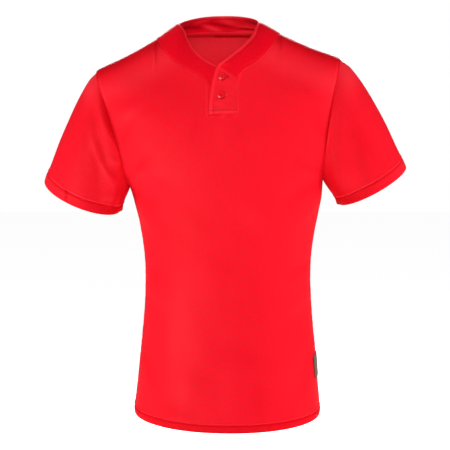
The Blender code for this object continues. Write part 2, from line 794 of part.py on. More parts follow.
def build_button(name, across, height, normal_lift, material, cutters, collection):
    """A turned button with a dished face and two holes, lying on the placket."""
    radius = BUTTON_WIDTH / 2
    profile = (
        (0.0, BUTTON_THICKNESS - BUTTON_DISH),
        (radius - BUTTON_RIM - 1.0, BUTTON_THICKNESS - BUTTON_DISH),
        (radius - BUTTON_RIM, BUTTON_THICKNESS - 0.15),
        (radius - BUTTON_RIM / 2, BUTTON_THICKNESS),
        (radius - 0.3, BUTTON_THICKNESS - 0.5),
        (radius, BUTTON_THICKNESS - 1.1),
        (radius - 0.4, 0.5),
        (radius - 1.5, 0.0),
        (0.0, 0.0),
    )
    mesh = bpy.data.meshes.new(name)
    vertices = [(r * MM, 0.0, z * MM) for r, z in profile]
    mesh.from_pydata(vertices, [(k, k + 1) for k in range(len(vertices) - 1)], [])
    button = bpy.data.objects.new(name, mesh)
    collection.objects.link(button)
    screw = button.modifiers.new("turn", "SCREW")
    screw.steps = 24
    screw.render_steps = 24
    screw.use_merge_vertices = True
    screw.merge_threshold = 1e-6
    screw.use_smooth_shade = True
    mesh.materials.append(material)
    place = on_body(across, height, "front")
    span = 1.0
    right = on_body(across + span, height, "front") - on_body(across - span, height, "front")
    up = on_body(across, height + span, "front") - on_body(across, height - span, "front")
    normal = np.cross(right, up)
    normal /= np.linalg.norm(normal)
    centre = place + normal * normal_lift
    tilt = math.atan2(-normal[2], -normal[1])
    button.location = centre * MM
    button.rotation_euler = (math.pi / 2 + tilt, 0.0, 0.0)
    for side in (-1, 1):
        bpy.ops.mesh.primitive_cylinder_add(
            vertices=10,
            radius=BUTTON_HOLE / 2 * MM,
            depth=3 * BUTTON_THICKNESS * MM,
            location=(side * BUTTON_HOLE_SPACING / 2 * MM, 0.0, BUTTON_THICKNESS / 2 * MM),
        )
        cutter = bpy.context.object
        cutter.name = f"{name}_hole_{'a' if side < 0 else 'b'}"
        for holder in list(cutter.users_collection):
            holder.objects.unlink(cutter)
        cutters.objects.link(cutter)
        cutter.parent = button
        cutter.hide_render = True
        cutter.display_type = "WIRE"
        cut = button.modifiers.new("hole", "BOOLEAN")
        cut.operation = "DIFFERENCE"
        cut.object = cutter
    return button


def cell_points(grid, rows, columns):
    """Points at fractions of a grid's rows and columns, on its flat cells."""
    result = []
    for r in rows:
        low = min(int(r), grid.shape[0] - 2)
        t = r - low
        line = grid[low] * (1 - t) + grid[low + 1] * t
        strip = []
        for c in columns:
            left = min(int(c), grid.shape[1] - 2)
            s = c - left
            strip.append(line[left] * (1 - s) + line[left + 1] * s)
        result.append(strip)
    return np.array(result)


def label_grid(front):
    """The label lies on the front beside the left side seam, along the front's own cells."""
    side = front[:, -1]
    heights = side[:, 2]
    levels = LABEL_BOTTOM + (LABEL_TOP - LABEL_BOTTOM) * np.arange(LABEL_ROWS + 1) / LABEL_ROWS
    rows = np.interp(levels, heights[: 3 + SIDE_ROWS], np.arange(3 + SIDE_ROWS))
    last = front.shape[1] - 1
    row = int(round(rows.mean()))
    steps = np.linalg.norm(np.diff(front[row][::-1], axis=0), axis=1)
    reach = np.interp(LABEL_REACH, np.concatenate([[0], np.cumsum(steps)]), np.arange(last + 1))
    whole = np.arange(math.ceil(last - reach), last)
    columns = np.concatenate([[last - reach], whole, [last - LABEL_INSET]])
    return cell_points(front, rows, columns)


def tape_grid(back_inner, band_inner):
    """The tape covers the neck seam inside the back, from the back's inner face to the band's."""
    seam = back_inner[-1, SHOULDER_CELLS : SHOULDER_CELLS + BACK_NECK_CELLS + 1]
    down = back_inner[-2, SHOULDER_CELLS : SHOULDER_CELLS + BACK_NECK_CELLS + 1] - seam
    first = SLIT_CELLS + NECK_CELLS
    rise = np.diff(band_inner[:2, first : first + BACK_NECK_CELLS + 1], axis=0)[0]
    down /= np.linalg.norm(down, axis=1)[:, None]
    rise /= np.linalg.norm(rise, axis=1)[:, None]
    rows = (seam + down * TAPE_HALF_WIDTH, seam, seam + rise * TAPE_HALF_WIDTH)
    return np.array(rows)[:, 1:-1]


def main():
    for obj in list(bpy.data.objects):
        bpy.data.objects.remove(obj, do_unlink=True)
    jersey = bpy.data.collections.new("jersey")
    cutters = bpy.data.collections.new("cutters")
    bpy.context.scene.collection.children.link(jersey)
    bpy.context.scene.collection.children.link(cutters)
    red = (0.88, 0.012, 0.025)
    knit = new_material("red_knit", red, 0.62)
    band_cloth = new_material("red_band_cloth", (0.82, 0.01, 0.022), 0.55)
    tape_cloth = new_material("red_tape", (0.7, 0.008, 0.018), 0.7)
    button_plastic = new_material("red_button_plastic", (0.8, 0.005, 0.015), 0.15)
    label_cloth = new_material("label_cloth", (0.2, 0.22, 0.2), 0.5)

    front_grid = panel("front")
    back_grid = panel("back")
    slit_start = SHOULDER_CELLS + NECK_CELLS
    slit_end = slit_start + SLIT_CELLS
    slit_row = 2 + SIDE_ROWS + SLIT_BOTTOM_ROW

    def in_slit(r, c):
        return r >= slit_row and slit_start <= c < slit_end

    front = Piece("front", front_grid, True, hole=in_slit)
    back = Piece("back", back_grid, False)
    under_grid = front_grid[slit_row:, slit_start : slit_end + 1]
    under = Piece("placket_under", under_grid, True)
    band_grid = band(front_grid, back_grid)
    neck_band = Piece("neck_band", band_grid, False)
    over = Piece("placket_over", over_placket(band_grid), True)
    sleeves = []
    for side in ("right", "left"):
        ring = armhole_ring(front_grid, back_grid, side)
        grid = sleeve(ring, side)
        sleeves.append(Piece(f"sleeve_{side}", grid, side == "right", wrap=True))
    shared_normals([[front, back, under], [neck_band, over], *[[sleeve] for sleeve in sleeves]])

    hem_rows = slice(0, 2)
    build_wall(front, row_thickness(front_grid, hem_rows, HEM_WALL, WALL), knit, jersey)
    build_wall(back, row_thickness(back_grid, hem_rows, HEM_WALL, WALL), knit, jersey)
    for piece in sleeves:
        cuff_rows = slice(len(piece.grid) - 2, len(piece.grid))
        build_wall(piece, row_thickness(piece.grid, cuff_rows, HEM_WALL, WALL), knit, jersey)
    build_wall(under, WALL, band_cloth, jersey)
    rises = np.broadcast_to(band_lift(band_grid.shape[1]), band_grid.shape[:2])
    build_wall(neck_band, WALL, band_cloth, jersey, lift=rises)
    build_wall(over, WALL, band_cloth, jersey, lift=WALL + LAYER_GAP)

    label = Piece("side_label", label_grid(front_grid), True)
    shared_normals([[label]])
    build_wall(label, LABEL_WALL, label_cloth, jersey, lift=LABEL_WALL + SEAM_GAP)

    back_inner = back_grid - back.normals.reshape(back_grid.shape) * WALL
    band_inner = band_grid - neck_band.normals.reshape(band_grid.shape) * WALL
    tape = Piece("neck_tape", tape_grid(back_inner, band_inner), False)
    shared_normals([[tape]])
    build_wall(tape, TAPE_WALL, tape_cloth, jersey, lift=-LAYER_GAP)

    lift = WALL + LAYER_GAP + SEAM_GAP
    for name, across, height in BUTTONS:
        build_button(name, across, height, lift, button_plastic, cutters, jersey)


main()
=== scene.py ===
import math
import bpy
import numpy as np
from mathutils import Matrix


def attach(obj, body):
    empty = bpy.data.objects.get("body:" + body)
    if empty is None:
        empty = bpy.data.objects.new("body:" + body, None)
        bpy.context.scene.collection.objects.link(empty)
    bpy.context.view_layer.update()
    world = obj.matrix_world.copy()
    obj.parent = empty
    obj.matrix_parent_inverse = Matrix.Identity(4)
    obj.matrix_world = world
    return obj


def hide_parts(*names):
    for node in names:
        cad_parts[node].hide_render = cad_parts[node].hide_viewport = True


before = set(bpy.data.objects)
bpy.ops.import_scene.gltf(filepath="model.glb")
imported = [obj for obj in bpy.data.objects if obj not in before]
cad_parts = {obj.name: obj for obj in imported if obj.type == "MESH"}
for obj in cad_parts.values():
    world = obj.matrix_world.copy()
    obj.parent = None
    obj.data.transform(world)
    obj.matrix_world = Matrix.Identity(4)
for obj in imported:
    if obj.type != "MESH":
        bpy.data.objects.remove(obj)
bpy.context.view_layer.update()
print("frame loaded:", len(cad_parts), "nodes")

# Sizes are in mm, seen from the front: across to the wearer's left, height up from the neck base.
mm = 0.001
fine = 5  # scene cells in each cell of the plain solid
cells = {  # cells of the plain solid along each seam
    "shoulder": 6,
    "neck": 8,
    "slit": 3,
    "backNeck": 12,
    "side": 13,
    "armhole": 12,
    "sleeve": 8,
    "slitBottom": 8,  # rows from the armpit up to the placket's lower end
}
span = {name: count * fine for name, count in cells.items()}

bodyShape = {
    "armpit": {"right": -278, "left": -264},
    "hem": {"right": -696, "left": -699},
    "hemDrop": 8.5,
    "power": {"front": 2.3, "back": 2.5},
    "sections": (  # height, right, left, front, back
        (-710, -157, 184.5, 121, 106), (-687, -156, 184, 120.5, 105.5), (-640, -150.5, 180, 118.5, 103),
        (-602, -146.5, 177, 117, 100), (-564, -142.5, 173.5, 115, 97), (-527, -138.5, 169.5, 113, 94.5),
        (-490, -135.5, 166.5, 111, 92.5), (-445, -134, 164.5, 110.5, 91.5), (-397, -136, 166.5, 112.5, 93.5),
        (-360, -141, 171.5, 115, 97.5), (-324, -148, 178.5, 118, 103), (-296, -155.5, 183.5, 120, 107),
        (-278, -162, 185.5, 121, 109), (-235, -170, 190, 121, 112), (-190, -180, 195, 117.5, 114),
        (-145, -195, 200, 108, 114), (-110, -207, 205, 95, 113), (-80, -215, 210, 81, 112),
        (-50, -219, 215, 70, 111), (-20, -219, 215, 63, 110), (30, -219, 215, 60, 110),
    ),
    "armholeDepth": {"front": 57, "back": 63},
    "armholeRound": 72,
    "armhole": {  # height, front, back
        "right": (
            (-278, -162, -162), (-260.5, -167.5, -169.5), (-212, -176.5, -186), (-171, -189, -199),
            (-127.5, -202, -209), (-98.5, -211, -214.5), (-72.5, -218, -218),
        ),
        "left": (
            (-264, 186, 186), (-229, 185.5, 192), (-178, 189.5, 200), (-125, 198, 206), (-77, 207.5, 211),
            (-51, 213.5, 213.5),
        ),
    },
    "ridgeRound": {"front": 100, "back": 140},
    "ridge": (  # across, height
        (-218, -72.5), (-201, -64), (-177.5, -53.5), (-156, -43), (-136.5, -32.5), (-118.5, -21.7),
        (-102.5, -11.2), (-88, -0.8), (-72, 9.8), (-48, 15), (0, 16.5), (48, 16.5), (71, 12), (95.5, -0.5),
        (113, -11), (136.5, -21.7), (161.5, -32.4), (192, -43), (213.5, -51),
    ),
}

neckShape = {  # across and height along the band's seam and along its free edge
    "seamRight": (
        (-113, -18.1), (-104.8, -27.8), (-95.4, -38.2), (-81.8, -51.9), (-66.7, -62.7), (-50.9, -71.5),
        (-35.1, -79.9), (-24.7, -88.4), (-18.6, -99),
    ),
    "seamLeft": (
        (108.5, -8.2), (101.5, -15.5), (93, -24.5), (77.2, -43.2), (59.8, -56.7), (42.7, -66.8),
        (34.1, -74.8), (30, -83.5),
    ),
    "seamBack": (
        (-113, -18.1), (-94, -14.5), (-70, -9.5), (-40, -7.2), (0, -6.8), (40, -6.8), (70, -7.2), (92, -7.8),
        (108.5, -8.2),
    ),
    "edgeRight": (
        (-71.6, 10), (-67.5, 6), (-62.4, 0.2), (-56.2, -14.7), (-50.4, -26.8), (-40.6, -38.9), (-26.6, -50.9),
        (-14.4, -57.7), (-2.8, -62.7),
    ),
    "edgeLeft": (
        (69, 13.2), (65, 7), (57, -10.7), (42.9, -26.1), (22.1, -43.2), (-2.8, -61.6),
    ),
    "edgeUnder": ((16, -76), (10, -72.5), (3.5, -68), (-2.8, -62.7)),
    "edgeBack": (  # across, depth, height
        (-71.6, 0, 10), (-64, 20, 14), (-47, 34, 19), (-24, 42, 23), (4, 45, 24.5), (31, 42, 24),
        (51, 33, 21.5), (64, 18, 18), (69, 0, 13.2),
    ),
    "roll": 1.5,
}

placketShape = {
    "edge": (
        (-2.8, -61.6), (-5.6, -66), (-10.5, -82), (-13.9, -95.4), (-16.3, -110.4), (-18, -127.2), (-18, -145),
    ),
    "seam": ((30, -83.5), (31, -100), (31.2, -120), (31, -143.5)),
    "lift": 2.2,  # how far the over layer lies off the under layer
}

sleeveShape = {
    "right": {"outer": (-316, -270.5), "inner": (-179.5, -322.5), "drop": 18, "cap": 12},
    "left": {"outer": (336.5, -245), "inner": (216, -311), "drop": 9.5, "cap": 18},
    "halfDepth": 54,
    "sideBulge": 9,
    "underBulge": 2,
    "girth": 400,
    "length": 150,
}

# The largest folds, as in the plain solids: from, to, half width, depth.
softFolds = {
    "front": (
        (-150, -238, -70, -330, 17, -2.6), (-158, -268, -95, -372, 16, 2.2), (172, -240, 95, -315, 17, -2.4),
        (176, -276, 120, -372, 17, 2), (-60, -420, 20, -600, 26, -2.2), (60, -400, 110, -620, 24, 2.4),
        (-105, -470, -85, -650, 20, 2.4),
    ),
    "back": (
        (-150, -235, -60, -320, 18, -3), (165, -235, 80, -330, 18, -3), (-20, -360, -70, -600, 26, 3),
        (50, -380, 95, -620, 26, -2.8), (-100, -420, -110, -640, 20, -2.4),
    ),
}
sleeveFolds = {  # from round and along, to round and along, half width, depth
    "right": (
        (0.2, 0.1, 0.08, 0.85, 15, 4), (0.3, 0.12, 0.16, 0.95, 13, -3.4), (0.36, 0.25, 0.27, 0.95, 14, 2.2),
        (0.8, 0.1, 0.92, 0.85, 15, 3.6),
    ),
    "left": (
        (0.22, 0.12, 0.1, 0.9, 15, 3.2), (0.32, 0.15, 0.2, 0.95, 13, -2.6), (0.79, 0.1, 0.91, 0.85, 15, 3.6),
    ),
}

# Heights of the grid's rows over the turned-up hems, close together at the stitched line.
hemRows = (0, 0.5, 1.5, 3, 5, 7.5, 10, 12, 13.5, 14.4, 15, 15.6, 16.5, 18, 20, 22.5)
hemLine = 15
cuffRows = (0, 0.5, 1.5, 3, 5.5, 8.5, 11.5, 14.5, 17, 18.8, 19.5, 20, 20.5, 21.3, 23, 25.5, 29)
cuffLine = 20


def smoothAt(at, xs, ys):
    xs = np.asarray(xs, float)
    ys = np.asarray(ys, float)
    at = np.clip(at, xs[0], xs[-1])
    slopes = np.gradient(ys, xs)
    k = np.clip(np.searchsorted(xs, at) - 1, 0, len(xs) - 2)
    step = xs[k + 1] - xs[k]
    t = (at - xs[k]) / step
    start = (1 + 2 * t) * (1 - t) ** 2 * ys[k] + t * (1 - t) ** 2 * step * slopes[k]
    end = t * t * (3 - 2 * t) * ys[k + 1] + t * t * (t - 1) * step * slopes[k + 1]
    return start + end


def tableAt(at, table, index=1):
    return smoothAt(at, [row[0] for row in table], [row[index] for row in table])


def unit(vectors):
    return vectors / np.linalg.norm(vectors, axis=-1, keepdims=True)


def shares(count):
    return np.arange(count + 1) / count


def smoothStep(share):
    share = np.clip(share, 0, 1)
    return share * share * (3 - 2 * share)


def quarterRound(share):
    return np.sqrt(np.clip(1 - (1 - np.clip(share, 0, 1)) ** 2, 0, 1))


def gully(distance, width):
    return np.exp(-((distance / width) ** 2))


def wobble(at, wave, phase):
    # an uneven ripple: two waves that do not share a period
    turns = 2 * math.pi * at / wave
    return 0.62 * np.sin(turns + phase) + 0.38 * np.sin(turns / 0.61 + 2.3 * phase + 1.1)


def lengthsAlong(points):
    return np.concatenate([[0], np.cumsum(np.linalg.norm(np.diff(points, axis=0), axis=1))])


def lineLengths(grid, axis):
    steps = np.linalg.norm(np.diff(grid, axis=axis), axis=2)
    pad = ((1, 0), (0, 0)) if axis == 0 else ((0, 0), (1, 0))
    return np.pad(np.cumsum(steps, axis=axis), pad)


def alongCurve(points, parts):
    points = np.asarray(points, float)
    length = lengthsAlong(points)
    at = np.asarray(parts, float) * length[-1]
    return np.stack([smoothAt(at, length, points[:, k]) for k in range(points.shape[1])], -1)


def foldHeight(folds, u, v, taperStart=0.12, taperSpan=0.76):
    # soft troughs and ridges, each from one place to another and lower towards its ends
    total = np.zeros(np.broadcast(u, v).shape)
    for u0, v0, u1, v1, width, depth in folds:
        length = math.hypot(u1 - u0, v1 - v0)
        au = (u1 - u0) / length
        av = (v1 - v0) / length
        run = (u - u0) * au + (v - v0) * av
        off = (u - u0) * av - (v - v0) * au
        share = np.clip(run / length, 0, 1)
        past = run - share * length
        taper = np.sin(math.pi * (taperStart + taperSpan * share))
        total += depth * taper * np.exp(-(off**2 + past**2) / width**2)
    return total


def ridgeAt(across):
    return tableAt(across, bodyShape["ridge"])


def edgeAcross(height, side, face):
    sections, armhole = bodyShape["sections"], bodyShape["armhole"][side]
    index = 1 if side == "right" else 2
    footHeight, footAcross = armhole[0][:2]
    near = np.clip(1 - (footHeight - height) / 60, 0, 1) ** 2
    seam = tableAt(height, sections, index) + (footAcross - tableAt(footHeight, sections, index)) * near
    return np.where(height < footHeight, seam, tableAt(height, armhole, 1 if face == "front" else 2))


def edgeDepth(height, side, face):
    up = (height - bodyShape["armpit"][side]) / bodyShape["armholeRound"]
    return bodyShape["armholeDepth"][face] * quarterRound(up)


def bodyDepth(across, height, face):
    across = np.asarray(across, float)
    height = np.asarray(height, float)
    power = bodyShape["power"][face]
    full = tableAt(height, bodyShape["sections"], 3 if face == "front" else 4)
    right = edgeAcross(height, "right", face)
    left = edgeAcross(height, "left", face)
    middle = (right + left) / 2
    onLeft = across > middle
    edge = np.where(onLeft, left, right)
    depth = np.where(onLeft, edgeDepth(height, "left", face), edgeDepth(height, "right", face))
    reach = np.abs(edge - middle) / (1 - np.clip(depth / full, 0, 0.95) ** power) ** (1 / power)
    share = np.clip(np.abs(across - middle) / reach, 0, 1)
    section = full * np.clip(1 - share**power, 0, 1) ** (1 / power)
    rise = quarterRound((ridgeAt(across) - height) / bodyShape["ridgeRound"][face])
    folds = foldHeight(softFolds[face], across, height)
    return section * rise + folds * np.clip(section / 40, 0, 1) * rise


def onBody(across, height, face):
    depth = bodyDepth(across, height, face)
    y = -depth if face == "front" else depth
    return np.stack(np.broadcast_arrays(np.asarray(across, float), y, height), -1)


def alongBody(points, parts, face):
    dense = alongCurve(points, np.linspace(0, 1, 161))
    dense[0] = points[0]
    dense[-1] = points[-1]
    length = lengthsAlong(onBody(dense[:, 0], dense[:, 1], face))
    at = np.asarray(parts, float) * length[-1]
    return np.stack([np.interp(at, length, dense[:, k]) for k in (0, 1)], -1)


def topRow(face):
    # the panel's top: a shoulder, the neck with the placket's slit, and the other shoulder
    part = shares(span["shoulder"])
    right, left = (bodyShape["armhole"][side][-1][1] for side in ("right", "left"))
    startRight, startLeft = neckShape["seamRight"][0][0], neckShape["seamLeft"][0][0]
    acrossRight = right + (startRight - right) * part
    acrossLeft = startLeft + (left - startLeft) * part
    shoulderRight = np.stack([acrossRight, ridgeAt(acrossRight)], -1)
    shoulderLeft = np.stack([acrossLeft, ridgeAt(acrossLeft)], -1)
    if face == "back":
        neck = alongBody(neckShape["seamBack"], shares(span["backNeck"]), "back")
    else:
        neckRight = alongBody(neckShape["seamRight"], shares(span["neck"]), "front")
        neckLeft = alongBody(neckShape["seamLeft"][::-1], shares(span["neck"]), "front")
        between = shares(span["slit"])[1:-1, None]
        slit = neckRight[-1] + (neckLeft[0] - neckRight[-1]) * between
        neck = np.concatenate([neckRight, slit, neckLeft])
    neck[0] = shoulderRight[-1]
    neck[-1] = shoulderLeft[0]
    return np.concatenate([shoulderRight[:-1], neck, shoulderLeft[1:]])


def fromSides(values, share):
    return values["right"] + (values["left"] - values["right"]) * share


def lowerHeights(index, share, bow):
    hem = fromSides(bodyShape["hem"], share)
    hem = hem - bodyShape["hemDrop"] * (1 - (2 * share - 1) ** 2) * bow
    if index < len(hemRows):
        return hem + hemRows[index]
    start = hem + hemRows[-1]
    step = (index - len(hemRows) + 1) / span["side"]
    return start + (fromSides(bodyShape["armpit"], share) - start) * step


def sideEdges(heightRight, heightLeft, face):
    return float(edgeAcross(heightRight, "right", face)), float(edgeAcross(heightLeft, "left", face))


def evenRow(index, face, count, bow):
    share = (np.sin(np.linspace(-math.pi / 2, math.pi / 2, 241)) + 1) / 2
    height = lowerHeights(index, share, bow)
    right, left = sideEdges(height[0], height[-1], face)
    length = lengthsAlong(onBody(right + (left - right) * share, height, face))
    return np.interp(shares(count) * length[-1], length, share)


def panelGrid(face):
    top = topRow(face)
    tips = top[[0, -1]]
    bow = 1.0 if face == "front" else 0.5
    rows = []
    for index in range(len(hemRows) + span["side"]):
        part = evenRow(index, face, len(top) - 1, bow)
        height = lowerHeights(index, part, bow)
        right, left = sideEdges(height[0], height[-1], face)
        rows.append(onBody(right + (left - right) * part, height, face))
    foot = fromSides(bodyShape["armpit"], part)
    footRight, footLeft = bodyShape["armpit"]["right"], bodyShape["armpit"]["left"]
    neckRight = top[span["shoulder"], 0]
    neckLeft = top[-1 - span["shoulder"], 0]
    shareRight = (top[:, 0] - neckRight) / (tips[0, 0] - neckRight)
    shareLeft = (top[:, 0] - neckLeft) / (tips[1, 0] - neckLeft)
    for rise in (1 - np.cos(math.pi * shares(span["armhole"])[1:] ** 1.11)) / 2:
        weight = smoothStep(rise / 0.6)
        heightRight = footRight + (tips[0, 1] - footRight) * rise
        heightLeft = footLeft + (tips[1, 1] - footLeft) * rise
        right, left = sideEdges(heightRight, heightLeft, face)
        even = right + (left - right) * part
        fanned = np.where(top[:, 0] < neckRight, neckRight + (right - neckRight) * shareRight, top[:, 0])
        fanned = np.where(top[:, 0] > neckLeft, neckLeft + (left - neckLeft) * shareLeft, fanned)
        across = even + (fanned - even) * weight
        across[0] = right
        across[-1] = left
        height = foot + (top[:, 1] - foot) * rise
        row = onBody(across, height, face)
        if rise == 1.0:
            row[np.abs(ridgeAt(across) - height) < 1e-6, 1] = 0.0
        rows.append(row)
    return np.array(rows)


def armholeRing(front, back, side):
    edge = 0 if side == "right" else -1
    foot = len(front) - 1 - span["armhole"]
    return np.concatenate([front[foot:, edge], back[foot:, edge][::-1][1:-1]])


def cuffRing(side, count):
    cuff = sleeveShape[side]
    outer, inner = (np.array([cuff[name][0], 0.0, cuff[name][1]]) for name in ("outer", "inner"))
    turn = 2 * math.pi * np.arange(count) / count
    forward = np.stack([0 * turn, -sleeveShape["halfDepth"] * np.sin(turn), -cuff["drop"] * np.sin(turn)], -1)
    return (outer + inner) / 2 - np.cos(turn)[:, None] * (outer - inner) / 2 + forward


def sleeveGrid(ring, side):
    count = len(ring)
    cuff = cuffRing(side, count)
    length = np.linalg.norm(cuff - ring, axis=1)
    start = 1 - cuffRows[-1] / length
    along = [start * part for part in shares(span["sleeve"])]
    along += [1 - back / length for back in cuffRows[-2::-1]]
    turn = np.arange(count) / count
    top = (1 - np.cos(2 * math.pi * turn)) / 2
    flank = np.abs(np.sin(2 * math.pi * turn))
    under = sleeveShape["underBulge"]
    bulge = under + (sleeveShape[side]["cap"] - under) * top**2 + (sleeveShape["sideBulge"] - under) * flank
    axis = unit(cuff.mean(axis=0) - ring.mean(axis=0))
    girth, long = sleeveShape["girth"], sleeveShape["length"]
    folds = np.array(sleeveFolds[side]) * (girth, long, girth, long, 1, 1)
    rows = []
    for share in along:
        points = ring + (cuff - ring) * share[:, None]
        spine = ring.mean(axis=0) + (cuff.mean(axis=0) - ring.mean(axis=0)) * share[:, None]
        out = points - spine
        out = unit(out - (out @ axis)[:, None] * axis)
        swell = share**0.7 * (1 - share) ** 1.3 * 2.4
        still = np.minimum(1, 6 * share) * np.minimum(1, 5 * (1 - share))
        swell = swell * bulge + foldHeight(folds, turn * girth, share * long, 0.1, 0.7) * still
        rows.append(points + out * swell[:, None])
    return np.array(rows)


def onChest(seam, edge, rolls, count):
    rows = [seam.copy()]
    for q in shares(count)[1:]:
        place = seam[:, [0, 2]] + (edge - seam[:, [0, 2]]) * q
        points = onBody(place[:, 0], place[:, 1], "front")
        points[:, 1] -= neckShape["roll"] * math.sin(math.pi * q) * rolls
        rows.append(points)
    return rows


slitStart = span["shoulder"] + span["neck"]
slitEnd = slitStart + span["slit"]
slitRow = len(hemRows) - 1 + span["side"] + span["slitBottom"]
backStart = span["shoulder"]
backStop = backStart + span["backNeck"]
bandStart = span["slit"] + span["neck"]  # where the band passes the right shoulder seam
bandStop = bandStart + span["backNeck"]


def bandGrid(front, back, acrossRows):
    top = front[-1]
    seamBack = back[-1][backStart : backStop + 1]
    part = shares(span["neck"])
    rollRight = np.clip(part / 0.5, 0, 1)
    edgeRight = alongBody(neckShape["edgeRight"][::-1], part, "front")
    edgeLeft = alongBody(neckShape["edgeLeft"], part, "front")
    edgeBack = alongCurve(neckShape["edgeBack"], shares(span["backNeck"]))
    edgeUnder = alongCurve(neckShape["edgeUnder"], shares(span["slit"]))
    under = onChest(top[slitStart : slitEnd + 1][::-1], edgeUnder, 0.0, acrossRows)
    right = onChest(top[span["shoulder"] : slitStart + 1][::-1], edgeRight, rollRight, acrossRows)
    left = onChest(top[slitEnd : slitEnd + span["neck"] + 1][::-1], edgeLeft, rollRight[::-1], acrossRows)
    rows = []
    for index, q in enumerate(shares(acrossRows)):
        behind = seamBack + (edgeBack - seamBack) * q
        behind[1:-1, 1] += neckShape["roll"] * math.sin(math.pi * q)
        rows.append(np.concatenate([under[index][:-1], right[index], behind[1:-1], left[index]]))
    grid = np.array(rows)
    for index in (bandStart, bandStop):
        grid[:, index, 1] = 0.0
        grid[1:-1, index, 2] = ridgeAt(grid[1:-1, index, 0]) + neckShape["roll"] / 2
    return grid


def outward(grid, sign, wrap=False):
    du = np.roll(grid, -1, 1) - np.roll(grid, 1, 1) if wrap else np.gradient(grid, axis=1)
    normal = np.cross(du, np.gradient(grid, axis=0))
    return sign * normal / np.maximum(np.linalg.norm(normal, axis=2, keepdims=True), 1e-9)


def sampleGrid(grid, r, c):
    r = np.clip(np.asarray(r, float), 0, grid.shape[0] - 1.000001)
    c = np.clip(np.asarray(c, float), 0, grid.shape[1] - 1.000001)
    i, j = r.astype(int), c.astype(int)
    t, s = (r - i)[..., None], (c - j)[..., None]
    low = grid[i, j] * (1 - s) + grid[i, j + 1] * s
    high = grid[i + 1, j] * (1 - s) + grid[i + 1, j + 1] * s
    return low * (1 - t) + high * t


signs = {"front": 1.0, "back": -1.0, "right": 1.0, "left": -1.0}  # turns a grid's normals outwards

shadeLook = {  # painted shade: how much darker the cloth is painted, from 0 to 1; negative amounts paint light
    "hemShadeMiddle": 0.45,
    "hemShadeSide": 0.2,
    "cuffUnderShade": 0.6,
    "cuffOuterLight": -0.35,
    # painted shade in a hem's stitched groove
    "groove": 0.32,
    "hemRidge": 0.5,  # painted highlight on the edge just above a stitched groove
    "cuffRidgeHighlight": 0.8,
    "creaseShade": 0.16,  # painted shade in a small crease's trough and painted light on its ridge, for each mm of its height
    # painted shade in the groove along a seam
    "seam": 0.6,
    "neckSeamShade": 0.14,
    # painted highlight on the cloth's edge standing up beside the seams
    "lip": 0.5,
    # painted shade in the fold beside the lower armhole
    "armFoldShade": 0.55,
    "armFoldEdgeHighlight": 0.5,  # painted highlight on the edge beside the fold at the armhole
    # painted shade on the sleeve beside the underarm seam, just above the cuff
    "armpit": 0.55,
    # painted shade in the short crease across the cuff
    "nick": 0.9,
    # painted shadow strip along the shoulder tops, where they turn away from the front lamps
    "shoulder": 0.46,
    "shoulderShadeReach": 21,
    "chestLight": 0.5,  # painted light just below the shoulders' painted shadow strip
    "capLight": 0.95,
    "underTapeShadow": 2.4,
    "insideNeckLight": 0.15,
}

seamLook = {
    "rise": 0.8,  # how far the cloth swells beside a seam
    "width": 2.4,
    "lip": 0.9,  # the body's edge standing up along the armhole
    "lipWidth": 1.6,
    "flare": 1.1,  # the body standing up beside the lower armhole
    "shoulderTurn": 5,  # how far the shoulders swell under their ridge
    "puckerDepth": 0.4,
    "puckerWave": 13,
    "puckerReach": 8,
    "hemGroove": 1.4,
    "hemRidge": 1,
    "hemStep": 0.9,  # how far the doubled hem stands out
    "hemRoll": 1.6,  # how far the hem's edge turns in
    "cuffRoll": 1,
}

smallCreases = {  # from, to, half width, depth
    "front": (
        (-163, -262, -118, -214, 6.5, -1.3), (-160, -250, -100, -252, 8, 1),
        (-160, -282, -104, -306, 7, -1.2), (-154, -306, -112, -352, 7.5, 0.9),
        (-176, -205, -150, -150, 8, -1.2), (-190, -168, -128, -120, 11, 1), (184, -250, 132, -224, 6.5, -1.1),
        (182, -268, 128, -290, 7.5, -1), (180, -292, 146, -344, 7.5, 0.9), (186, -190, 160, -132, 9, -1.1),
        (200, -150, 140, -110, 11, 0.8), (-128, -420, -96, -440, 8, -0.9), (-130, -455, -88, -492, 9, 0.8),
        (160, -408, 122, -436, 8, -0.9), (162, -470, 118, -505, 9, 0.8), (-34, -150, -46, -196, 7, -0.6),
        (30, -148, 44, -188, 7, -0.6), (4, -150, 6, -205, 12, 0.8), (-70, -300, -10, -352, 15, -0.9),
        (28, -300, 84, -350, 16, 0.8), (-140, -560, -112, -640, 10, -0.9), (168, -540, 146, -648, 10, -0.9),
        (10, -600, 18, -672, 17, 1), (66, -610, 74, -676, 13, -0.8), (-60, -612, -66, -672, 13, 0.7),
    ),
    "back": (
        (-168, -258, -110, -214, 7.5, -1.5), (-160, -276, -92, -296, 8, -1.4),
        (-156, -300, -108, -352, 9, 1.2), (186, -248, 130, -212, 7.5, -1.5),
        (184, -272, 120, -296, 8.5, -1.4), (180, -300, 138, -356, 9, 1.2), (-60, -120, -20, -190, 14, 1),
        (60, -120, 24, -196, 13, -1), (-130, -400, -78, -428, 9, -1.2), (-132, -440, -84, -480, 10, 1),
        (160, -396, 104, -430, 9, -1.2), (160, -446, 112, -486, 10, 1), (14, -420, 20, -520, 15, -1.2),
        (-8, -560, -14, -668, 16, 1), (96, -580, 100, -672, 14, -1),
    ),
}
